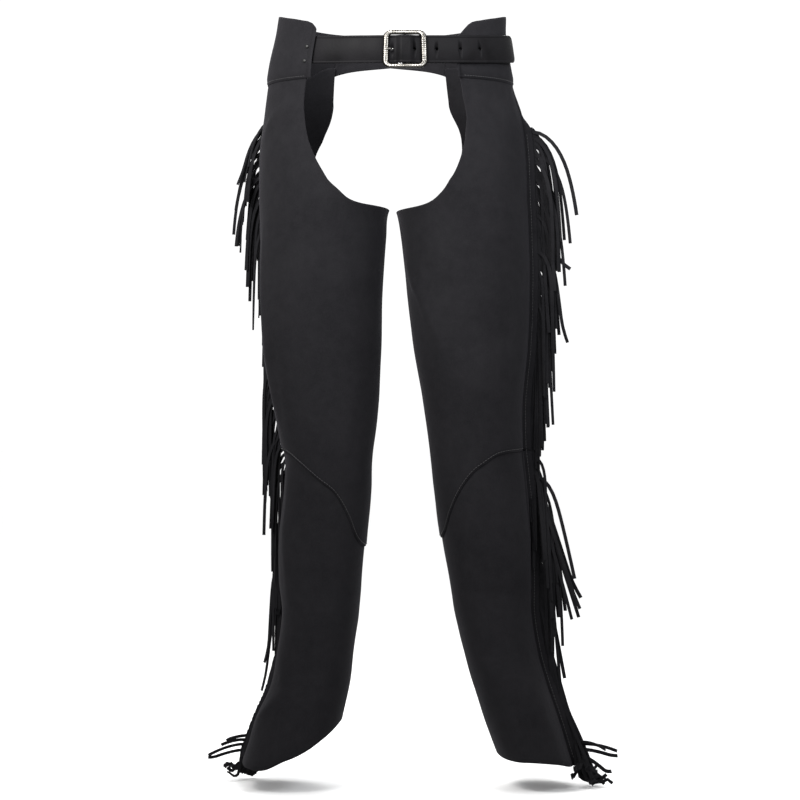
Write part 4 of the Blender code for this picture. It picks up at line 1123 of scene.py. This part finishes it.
RIGHT_SWING = (
    (-0.092, 0.038, 0.049, 0.00, 0.02, -0.65, -0.35, 43, 6),
    (-0.115, 0.035, 0.049, 0.00, 0.03, -0.5, -0.15, 40, 8),
    (-0.140, 0.030, 0.046, 0.00, 0.04, -0.3, 0.1, 34, 12),
    (-0.170, 0.020, 0.042, 0.00, 0.04, 0.0, 0.5, 26, 18),
    (-0.210, 0.010, 0.026, -0.02, 0.03, 0.2, 0.8, 18, 26),
    (-0.250, 0.007, 0.018, -0.03, 0.03, 0.3, 1.0, 15, 32),
    (-0.290, 0.006, 0.014, -0.03, 0.03, 0.4, 1.1, 14, 34),
    (-0.400, 0.004, 0.010, -0.03, 0.02, 0.5, 1.2, 14, 34),
    (-0.460, 0.008, 0.022, -0.02, 0.04, 0.2, 0.9, 18, 30),
    (-0.560, 0.010, 0.024, -0.02, 0.04, 0.2, 0.9, 18, 30),
    (-0.620, 0.006, 0.014, -0.02, 0.03, 0.4, 1.1, 16, 34),
    (-0.760, 0.006, 0.012, -0.02, 0.05, 0.4, 1.1, 16, 34),
    (-0.830, 0.003, 0.006, 0.00, 0.10, 0.6, 1.2, 4, 24),
    (-0.920, 0.003, 0.005, 0.05, 0.20, 0.6, 1.2, -10, 24),
    (-0.970, 0.003, 0.006, 0.05, 0.25, 0.6, 1.2, -16, 40),
    (-1.000, 0.003, 0.006, 0.00, 0.25, 0.6, 1.2, -16, 40),
)


def keep_clear(leg, point):
    """Moves a point of a strand out of the leg that it hangs beside."""
    hem = smooth_row(leg.hem, 0, 1)
    row = section(leg, max(point.z, hem))
    centre_x = (row["outer"] + row["inner"]) / 2
    centre_y = (row["front"] + row["back"]) / 2
    half_x = abs(row["outer"] - row["inner"]) / 2
    half_y = (row["back"] - row["front"]) / 2
    dx, dy = point.x - centre_x, point.y - centre_y
    size = (abs(dx / half_x) ** CURVE_POWER + abs(dy / half_y) ** CURVE_POWER) ** (1 / CURVE_POWER)
    least = 1.0 + LEG_CLEARANCE / min(half_x, half_y)
    if point.z < hem - 0.004 or size >= least or size < 1e-6:
        return point
    return Vector((centre_x + dx * least / size, centre_y + dy * least / size, point.z))


def strand_course(leg, root, outward, sideways, strand, seed, ground):
    """A strand's points: out of the seam, down under its weight, and along the ground."""
    azimuth, curl, length, lean, start, kick = strand
    step = length / VISUAL_STEPS
    sway = seed.uniform(0.05, 0.30)
    phase = seed.uniform(0.0, math.tau)
    point = root.copy()
    points = [point.copy()]
    landed = 0.0
    for i in range(VISUAL_STEPS):
        run = (i + 0.5) * step
        fall = start + (math.pi / 2 - lean - start) * (1.0 - math.exp(-run / curl))
        fall -= kick * ease((run / length - 0.72) / 0.25)
        turn = azimuth + sway * math.sin(run * 38.0 + phase)
        if landed > 0.0:
            turn += 0.7 * math.sin(landed * 30.0 + phase)
        level = outward * math.cos(turn) + sideways * math.sin(turn)
        direction = level * math.cos(fall) - Vector((0, 0, 1)) * math.sin(fall)
        point = point + direction * step
        low = ground + GROUND_WAVE * math.sin(landed * 90.0 + phase) ** 2
        if point.z < low:
            back = points[-1]
            drop = max(back.z - low, 0.0)
            reach = GROUND_SLIDE * math.sqrt(max(step * step - drop * drop, 0.0))
            point = Vector((back.x, back.y, max(back.z - drop, low))) + level * reach
            landed += step
        point = keep_clear(leg, point)
        points.append(point.copy())
    return points


def add_strand(shape, tone, points, thin_start, twist, value, width):
    """A flat strand with square-cut ends along its points."""
    rings = []
    for i, point in enumerate(points):
        before = points[max(i - 1, 0)]
        after = points[min(i + 1, len(points) - 1)]
        direction = (after - before).normalized()
        thin = thin_start - direction * thin_start.dot(direction)
        thin.normalize()
        wide = thin.cross(direction)
        turn = twist * (i / (len(points) - 1)) ** 1.5
        wide, thin = (wide * math.cos(turn) + thin * math.sin(turn),
                      thin * math.cos(turn) - wide * math.sin(turn))
        ring = []
        for across, through in ((1, 1), (1, -1), (-1, -1), (-1, 1)):
            vert = shape.verts.new(
                point + wide * (across * width / 2) + thin * (through * VISUAL_THICK / 2))
            vert[tone] = value
            ring.append(vert)
        rings.append(ring)
    for a, b in zip(rings, rings[1:]):
        for i in range(4):
            j = (i + 1) % 4
            shape.faces.new([a[i], a[j], b[j], b[i]])
    shape.faces.new(rings[0][::-1])
    shape.faces.new(rings[-1])


# Strands that stand out from the rest in the photograph: leg, root height, degrees
# to the front, how slowly they fall, length, lean, how far down they point at once,
# how far their tips turn up, and twist
STRAYS = (
    ("left", -0.1165, 4, 0.042, 0.142, 0.10, 0.05, 0.0, 0.1),
    ("left", -0.1200, 0, 0.034, 0.160, 0.06, 0.40, 0.0, 0.3),
    ("left", -0.1240, 8, 0.032, 0.156, 0.05, 0.45, 0.0, 0.5),
    ("left", -0.1750, 10, 0.022, 0.150, 0.04, 0.30, 0.9, 0.2),
    ("left", -0.2700, 6, 0.022, 0.150, 0.12, 0.50, 0.2, 0.7),
    ("left", -0.1480, 4, 0.032, 0.142, 0.08, 0.10, 0.0, 0.3),
    ("left", -0.2050, 4, 0.028, 0.140, 0.06, 0.20, 0.0, 0.4),
    ("left", -0.5700, 6, 0.014, 0.110, 0.00, 0.10, 0.0, 0.1),
    ("left", -0.5960, 6, 0.022, 0.160, 0.22, 0.20, 0.0, 0.1),
    ("left", -0.6220, -6, 0.012, 0.160, 0.32, 0.50, 0.2, 0.4),
    ("left", -0.6300, 8, 0.010, 0.165, 0.32, 0.50, 0.1, 0.3),
    ("left", -0.6380, 0, 0.010, 0.168, 0.31, 0.55, 0.0, 0.5),
    ("left", -0.6480, 10, 0.010, 0.158, 0.27, 0.60, 0.0, 0.6),
    ("left", -0.6940, 4, 0.026, 0.150, 0.03, 0.40, 0.0, 0.2),
    ("left", -0.7360, 0, 0.009, 0.150, 0.19, 0.60, 0.0, 0.3),
    ("left", -0.9690, 34, 0.040, 0.052, 0.95, -0.25, 0.0, 0.8),
    ("left", -0.9720, 14, 0.050, 0.060, 1.00, -0.20, 0.0, 0.3),
    ("left", -0.9780, 24, 0.060, 0.060, 1.05, -0.05, 0.3, 0.4),
    ("left", -0.9840, 30, 0.060, 0.060, 0.80, 0.30, 0.7, 0.2),
    ("left", -0.9880, 72, 0.030, 0.064, 0.30, 0.10, 0.0, 0.4),
    ("left", -0.9920, 58, 0.030, 0.070, 0.50, 0.20, 0.0, 0.1),
    ("right", -0.0960, 42, 0.046, 0.136, 0.02, -0.70, 0.25, 0.2),
    ("right", -0.1050, 38, 0.046, 0.150, 0.02, -0.45, 0.20, 0.3),
    ("right", -0.1450, 22, 0.038, 0.165, 0.03, 0.20, 0.00, 0.4),
    ("right", -0.1620, 24, 0.032, 0.168, 0.02, 0.30, 0.15, 0.6),
    ("right", -0.2050, 18, 0.022, 0.150, 0.02, 0.40, 0.00, 0.7),
    ("right", -0.0930, 48, 0.038, 0.112, 0.02, -1.00, 0.00, 0.3),
    ("right", -0.0990, 44, 0.040, 0.126, 0.02, -0.85, 0.00, 0.5),
    ("right", -0.7200, 20, 0.014, 0.150, 0.06, 0.50, 0.20, 0.5),
    ("right", -0.7550, 24, 0.012, 0.155, 0.12, 0.60, 0.15, 0.4),
    ("right", -0.9660, 22, 0.060, 0.031, 0.70, 0.00, -0.2, 0.2),
    ("right", -0.9720, 30, 0.060, 0.038, 0.70, -0.10, 0.0, 0.4),
    ("right", -0.9780, 34, 0.050, 0.054, 0.85, 0.00, 0.0, 0.1),
    ("right", -0.9860, 24, 0.050, 0.050, 1.00, 0.10, 0.4, 0.2),
)


def strip_out(z):
    """How far out the strip between the seam's edges reaches at a height."""
    parted = ease((FIN_PART_TOP - z) / (FIN_PART_TOP - FIN_PART_END))
    risen = ease((FIN_PART_END - z) / (FIN_PART_END - FIN_RISE_END))
    return SEAM_FIN * max(risen, 0.2 * parted) + STRIP_SHOWS


def free_fringe(leg, panel_name, z_top, z_bottom):
    """The strip in the seam with all its strands, each hanging its own way."""
    seed = random.Random("free " + leg.name + panel_name)
    shape = bmesh.new()
    tone = shape.verts.layers.float.new("tone")
    count = int((z_top - z_bottom) / VISUAL_PITCH)
    half = STRAND_THICK / 2
    rings = []
    for n in range(2 * count + 1):
        z = z_top - (z_top - z_bottom) * n / (2 * count)
        point, normal, forward = seam_frame(leg, z)
        outer = strip_out(z)
        inner = min(STRIP_INNER, outer - 0.002)
        ring = []
        for out, side in ((inner, 1), (outer, 1), (outer, -1), (inner, -1)):
            vert = shape.verts.new(point + normal * out + forward * (side * half))
            vert[tone] = 0.5
            ring.append(vert)
        rings.append(ring)
    for a, b in zip(rings, rings[1:]):
        for i in range(4):
            j = (i + 1) % 4
            shape.faces.new([a[i], a[j], b[j], b[i]])
    shape.faces.new(rings[0][::-1])
    shape.faces.new(rings[-1])
    table = RIGHT_SWING if leg is RIGHT else LEFT_SWING
    strands = []
    for k in range(count):
        z = z_top - VISUAL_PITCH * (k + 0.5)
        row = [smooth_row(table, z, n) for n in range(1, SWING_COLUMNS)]
        strands.append((
            z, (math.radians(row[6] + row[7] * seed.uniform(-1, 1)),
                max(lerp(row[0], row[1], seed.random() ** 1.4), 0.002),
                min(seed.uniform(0.128, 0.168), z - GROUND + GROUND_RUN * seed.uniform(0.2, 1.0)),
                lerp(row[2], row[3], seed.random()),
                lerp(row[4], row[5], seed.random()), 0.0),
            seed.choice((-1, 1)) * seed.uniform(0.1, 1.2)))
    for name, z, front, curl, length, lean, start, kick, twist in STRAYS:
        if name == leg.name and z_bottom < z < z_top:
            strands.append((z, (math.radians(front), curl, length, lean, start, kick), twist))
    for z, strand, twist in strands:
        point, normal, forward = seam_frame(leg, z)
        root = point + normal * (strip_out(z) - 0.0015)
        heap = GROUND_HEAP * ease((-0.9 - z) / 0.1) * seed.random()
        course = strand_course(
            leg, root, normal, forward, strand, seed,
            GROUND + VISUAL_THICK + seed.uniform(0.0, 0.006) + heap)
        add_strand(shape, tone, course, forward, twist, seed.random(),
                   VISUAL_WIDTH * seed.uniform(0.82, 1.08))
    bmesh.ops.recalc_face_normals(shape, faces=shape.faces)
    name = "free_fringe_" + panel_name + "_" + leg.name
    return place(name, shape, FRINGE_SUEDE, "fringe_" + panel_name + "_" + leg.name, "suede")


def dress_leg(leg):
    flip = leg.side > 0
    thigh = thigh_rows(leg)
    shin = shin_rows(leg, thigh)
    yoke = yoke_rows(leg)
    made = {
        "thigh": panel("suede_thigh_" + leg.name, thigh, flip, "thigh_" + leg.name, 0.6, 0.006),
        "shin": panel("suede_shin_" + leg.name, shin, flip, "shin_" + leg.name),
        "yoke": panel("suede_yoke_" + leg.name, yoke, not flip, "yoke_" + leg.name, 0.85),
    }
    knee = outward_line(leg, line_above(thigh, STITCH_IN, 0.0))
    top = outward_line(leg, line_above(yoke, STITCH_IN, 0.0))
    top = [(spot - outward * YOKE_SKIVED, outward) for spot, outward in top]
    fins = []
    for side in (1, -1):
        line = []
        z = FIN_RISE_END - 0.004
        while z > smooth_row(leg.hem, 0, 1) + 0.004:
            point, normal, forward = seam_frame(leg, z)
            line.append((point + normal * 0.0050 + forward * (side * FIN_FACE), forward * side))
            z -= 0.004
        fins.append(line)
    knee_sewing = stitches("knee_sewing_" + leg.name, [knee])
    yoke_sewing = stitches("yoke_sewing_" + leg.name, [top])
    seam_sewing = stitches("seam_sewing_" + leg.name, fins)
    shin_top = KNEE_SEAM_SIDE - SEWN_BUTT
    fringe_top = -0.092 if leg is RIGHT else -0.110
    joined = {
        "thigh": [knee_sewing, seam_sewing, free_fringe(leg, "thigh", fringe_top, KNEE_SEAM_SIDE)],
        "shin": [free_fringe(leg, "shin", shin_top, smooth_row(leg.hem, 0, 1) + 0.002)],
        "yoke": [yoke_sewing],
    }


# The belt
def strap_ring(width, thick, place_point):
    """A strap's cut: eased edges and a creased line along each side of its outer face."""
    half = width / 2
    soft = 0.0006
    crease = half - 0.0035
    outline = [(half - soft, thick / 2), (half, thick / 2 - soft), (half, soft - thick / 2),
               (half - soft, -thick / 2), (soft - half, -thick / 2), (-half, soft - thick / 2),
               (-half, thick / 2 - soft), (soft - half, thick / 2)]
    if crease > 0.006:
        for middle in (-crease, 0.0, crease):
            if middle == 0.0:
                outline.append((0.0, thick / 2))
                continue
            for shift, depth in ((-0.0007, 0.0), (0.0, 0.00035), (0.0007, 0.0)):
                outline.append((middle + shift, thick / 2 - depth))
    else:
        for n in range(7):
            outline.append((lerp(soft - half, half - soft, (n + 1) / 8), thick / 2))
    return [place_point(rise, out) for rise, out in outline]


def cut_hole(body, rings):
    cutter = loft("hole_tool", rings, BELT_LEATHER, None, "belt_leather")
    change = body.modifiers.new("hole", "BOOLEAN")
    change.operation = "DIFFERENCE"
    change.object = cutter
    bpy.ops.object.select_all(action="DESELECT")
    bpy.context.view_layer.objects.active = body
    body.select_set(True)
    bpy.ops.object.modifier_apply(modifier="hole")
    body.select_set(False)
    bpy.data.objects.remove(cutter, do_unlink=True)


def fine_billet():
    bends = [
        waist_angle(BILLET_START_X), waist_angle(BUCKLE_X - BUCKLE_ZONE),
        waist_angle(BUCKLE_X + BUCKLE_ZONE), BILLET_TIP_ANGLE,
    ]
    angles = [bends[0]]
    for low, high, steps in zip(bends, bends[1:], (36, 44, 84)):
        angles += [lerp(low, high, (n + 1) / steps) for n in range(steps)]
    tip = len(angles) - 1
    tip_point = surface(RIGHT, angles[tip], WAIST)[0]
    rings = []
    for angle in angles:
        point = surface(RIGHT, angle, WAIST)[0]
        out = route_out(BILLET_ROUTE, point.x - BUCKLE_X)
        near_tip = min((point - tip_point).length / 0.026 + 0.02, 1.0)
        width = STRAP_WIDTH * (0.22 + 0.78 * (1 - (1 - near_tip) ** 1.8) ** 0.6)
        rings.append(strap_ring(
            width, STRAP_THICK, lambda rise, o: waist_point(angle, rise, out + o)))
    made = loft("billet", rings, BELT_LEATHER, "belt_billet", "belt_leather", sharp=50.0)
    for x in HOLES_X:
        hole = []
        for out in (-0.004, HUMP_OUT + STRAP_THICK):
            hole.append([
                buckle_point(x - BUCKLE_X + HOLE_RADIUS * math.cos(math.tau * n / 20),
                             HOLE_RADIUS * math.sin(math.tau * n / 20), out)
                for n in range(20)])
        cut_hole(made, hole)
    return made


def smooth_path(path, fine):
    """A bent line taken finer, round its bends."""
    points = [Vector(p) for p in path]
    result = []
    for i in range(len(points) - 1):
        before = points[max(i - 1, 0)]
        after = points[min(i + 2, len(points) - 1)]
        reach = (points[i + 1] - points[i]).length
        start = points[i + 1] - before
        end = after - points[i]
        start = start * (reach / max(start.length, 1e-9))
        end = end * (reach / max(end.length, 1e-9))
        for n in range(fine):
            t = n / fine
            spot = (points[i] * (1 + 2 * t) * (1 - t) ** 2 + points[i + 1] * t * t * (3 - 2 * t)
                    + start * t * (1 - t) ** 2 + end * t * t * (t - 1))
            result.append((spot.x, spot.y))
    result.append(tuple(points[-1]))
    return result


def fine_buckle_strap():
    arc = bar_arc(FOLD_RADIUS, -90.0, -270.0, 12)
    path = smooth_path(FOLD_BACK, 4) + arc + smooth_path(FOLD_FRONT, 4)
    rings = []
    for (x, out), normal in zip(path, line_normals(path)):
        rings.append(strap_ring(
            STRAP_WIDTH, FOLD_THICK,
            lambda rise, o: buckle_point(x + normal.x * o, rise, out + normal.y * o)))
    made = loft("buckle_strap", rings, BELT_LEATHER, "belt_buckle_strap", "belt_leather", sharp=50.0)
    half = PRONG_RADIUS + 3 * GAP
    slot = []
    for x in (-FOLD_RADIUS - FOLD_THICK, PRONG_BEND + PRONG_RADIUS + 5 * GAP):
        slot.append([
            buckle_point(x, rise, out)
            for rise, out in ((half, 0.0), (half, 0.014), (-half, 0.014), (-half, 0.0))
        ])
    cut_hole(made, slot)
    return made


def fine_outline(half_width, half_height, corner, steps=9, straight=8):
    points = []
    for n in range(4):
        sign_x = (1, -1, -1, 1)[n]
        sign_z = (1, 1, -1, -1)[n]
        for step in range(steps + 1):
            turn = math.radians(90.0 * n + 90.0 * step / steps)
            points.append((
                sign_x * (half_width - corner) + corner * math.cos(turn),
                sign_z * (half_height - corner) + corner * math.sin(turn)))
        next_x = (-1, -1, 1, 1)[n]
        next_z = (1, -1, -1, 1)[n]
        turn = math.radians(90.0 * (n + 1))
        end = (next_x * (half_width - corner) + corner * math.cos(turn),
               next_z * (half_height - corner) + corner * math.sin(turn))
        start = points[-1]
        for step in range(1, straight):
            points.append((lerp(start[0], end[0], step / straight),
                           lerp(start[1], end[1], step / straight)))
    return points


def fine_frame():
    half_x = BUCKLE_WIDTH / 2
    half_z = BUCKLE_HEIGHT / 2
    low = FRAME_OUT - BUCKLE_THICK / 2
    loops = []
    for n in range(13):
        share = n / 12
        rise = (1 - abs(2 * share - 1) ** 2.4) ** (1 / 2.4)
        loops.append((0.004 + 0.992 * share, low + 0.0012 + (BUCKLE_THICK - 0.0012) * rise))
    loops.append((0.97, low))
    loops.append((0.03, low))
    made = []
    for share, out in loops:
        outline = fine_outline(
            half_x - share * BUCKLE_SIDE_BAR, half_z - share * (BUCKLE_RAIL + 0.0010),
            lerp(BUCKLE_CORNER, 0.0035, share))
        made.append([buckle_point(x, z, out) for x, z in outline])
    shape = bmesh.new()
    around = shape.verts.layers.float.new("around")
    across = shape.verts.layers.float.new("across")
    count = len(made[0])
    grid = []
    for i in range(count):
        ring = []
        for k, loop in enumerate(made):
            vert = shape.verts.new(loop[i])
            vert[around] = abs(2.0 * i / count - 1.0)
            vert[across] = loops[k][0]
            ring.append(vert)
        grid.append(ring)
    for a, b in zip(grid, grid[1:] + grid[:1]):
        for i in range(len(a)):
            j = (i + 1) % len(a)
            shape.faces.new([a[i], a[j], b[j], b[i]])
    end = half_z - BUCKLE_RAIL / 2
    path = ((end, FRAME_OUT), (end, BAR_OUT + 0.0012), (end - 0.0012, BAR_OUT),
            (0.0012 - end, BAR_OUT), (-end, BAR_OUT + 0.0012), (-end, FRAME_OUT))
    rings = []
    for (rise, out), normal in zip(path, line_normals(path)):
        ring = []
        for n in range(14):
            turn = math.tau * n / 14
            shift = normal * (BAR_RADIUS * math.sin(turn))
            vert = shape.verts.new(buckle_point(
                BAR_RADIUS * math.cos(turn), rise + shift.x, out + shift.y))
            ring.append(vert)
        rings.append(ring)
    for a, b in zip(rings, rings[1:]):
        for i in range(14):
            j = (i + 1) % 14
            shape.faces.new([a[i], a[j], b[j], b[i]])
    shape.faces.new(rings[0][::-1])
    shape.faces.new(rings[-1])
    bmesh.ops.recalc_face_normals(shape, faces=shape.faces)
    return place("frame_metal", shape, FRAME_METAL, "buckle_frame", "silver_metal", 60.0)


def fine_prong():
    path = bar_arc(PRONG_BEND, 160.0, -90.0, 22) + smooth_path(PRONG_ROUTE, 5)
    rings = []
    last = len(path) - 1
    for n, ((x, out), normal) in enumerate(zip(path, line_normals(path))):
        radius = PRONG_RADIUS * (0.55 if n in (0, last) else 1.0)
        ring = []
        for k in range(14):
            turn = math.tau * k / 14
            shift = normal * (radius * math.cos(turn))
            ring.append(buckle_point(x + shift.x, radius * math.sin(turn), out + shift.y))
        rings.append(ring)
    return loft("prong", rings, PLAIN_METAL, "buckle_prong", "silver_metal")


def fine_rivet(number, x, z):
    angle = angle_of_x(RIGHT, x, z)
    centre, normal = surface(RIGHT, angle, z, YOKE_FACE + GAP)
    up = Vector((0.0, 0.0, 1.0))
    side = up.cross(normal)
    rings = []
    for share, height in ((1.0, 0.0), (1.0, 0.18), (0.93, 0.34), (0.80, 0.60), (0.60, 0.82),
                          (0.36, 0.95), (0.12, 1.0)):
        ring = []
        for n in range(28):
            turn = math.tau * n / 28
            direction = side * math.cos(turn) + up * math.sin(turn)
            ring.append(
                centre + direction * (RIVET_RADIUS * share) + normal * (RIVET_HEIGHT * height))
        rings.append(ring)
    name = "rivet_" + str(number)
    return loft("dome_" + str(number), rings, RIVET_METAL, name, "silver_metal")


def plain_look(name, colour):
    made, tree, shader = shader_of(name)
    put(shader, "Base Color", (*colour, 1.0))
    put(shader, "Roughness", 0.9)
    return made


def studio():
    """A pale floor, soft light and the photograph's viewpoint."""
    scene = bpy.context.scene
    scene.view_settings.view_transform = "Standard"
    bpy.ops.mesh.primitive_plane_add(size=60.0, location=(0.0, 0.0, 0.0))
    floor = bpy.context.active_object
    floor.name = "studio_floor"
    for vert in floor.data.vertices:
        vert.co.z = STUDIO_FLOOR
    floor.data.materials.append(plain_look("pale floor", (0.93, 0.93, 0.93)))
    floor.select_set(False)
    world = bpy.data.worlds.new("studio")
    world.use_nodes = True
    sky = world.node_tree.nodes["Background"]
    sky.inputs["Color"].default_value = (1.0, 1.0, 1.0, 1.0)
    sky.inputs["Strength"].default_value = 1.08
    scene.world = world
    lamps = (
        ("key", (-0.75, -1.25, 0.80), 0.8, 18.5, 64.0, (1.0, 0.99, 0.975)),
        ("fill", (0.95, -1.30, 0.75), 0.9, 9.5, 64.0, (0.95, 0.97, 1.0)),
        ("back", (0.0, 1.60, 1.00), 1.2, 14.0, 80.0, (1.0, 1.0, 1.0)),
    )
    for name, spot, size, power, cone, colour in lamps:
        light = bpy.data.lights.new(name, "AREA")
        light.shape = "SQUARE"
        light.size = size
        light.energy = power
        light.spread = math.radians(cone)
        light.color = colour
        lamp = bpy.data.objects.new(name, light)
        lamp.location = spot
        aim = Vector((0.0, 0.0, 0.15)) - Vector(spot)
        lamp.rotation_euler = aim.to_track_quat("-Z", "Y").to_euler()
        scene.collection.objects.link(lamp)
    camera = bpy.data.cameras.new("camera")
    camera.sensor_width = 36.0
    camera.lens = 144.6
    eye = bpy.data.objects.new("camera", camera)
    eye.location = (0.0056, -4.5, -0.491)
    eye.rotation_euler = (math.radians(90.0), 0.0, 0.0)
    scene.collection.objects.link(eye)
    scene.camera = eye


STUDIO_FLOOR = -1.0305

for one in (RIGHT, LEFT):
    dress_leg(one)
fine_billet()
fine_buckle_strap()
fine_frame()
fine_prong()
for number, (rivet_x, rivet_z) in enumerate(RIVETS):
    fine_rivet(number + 1, rivet_x, rivet_z)
studio()
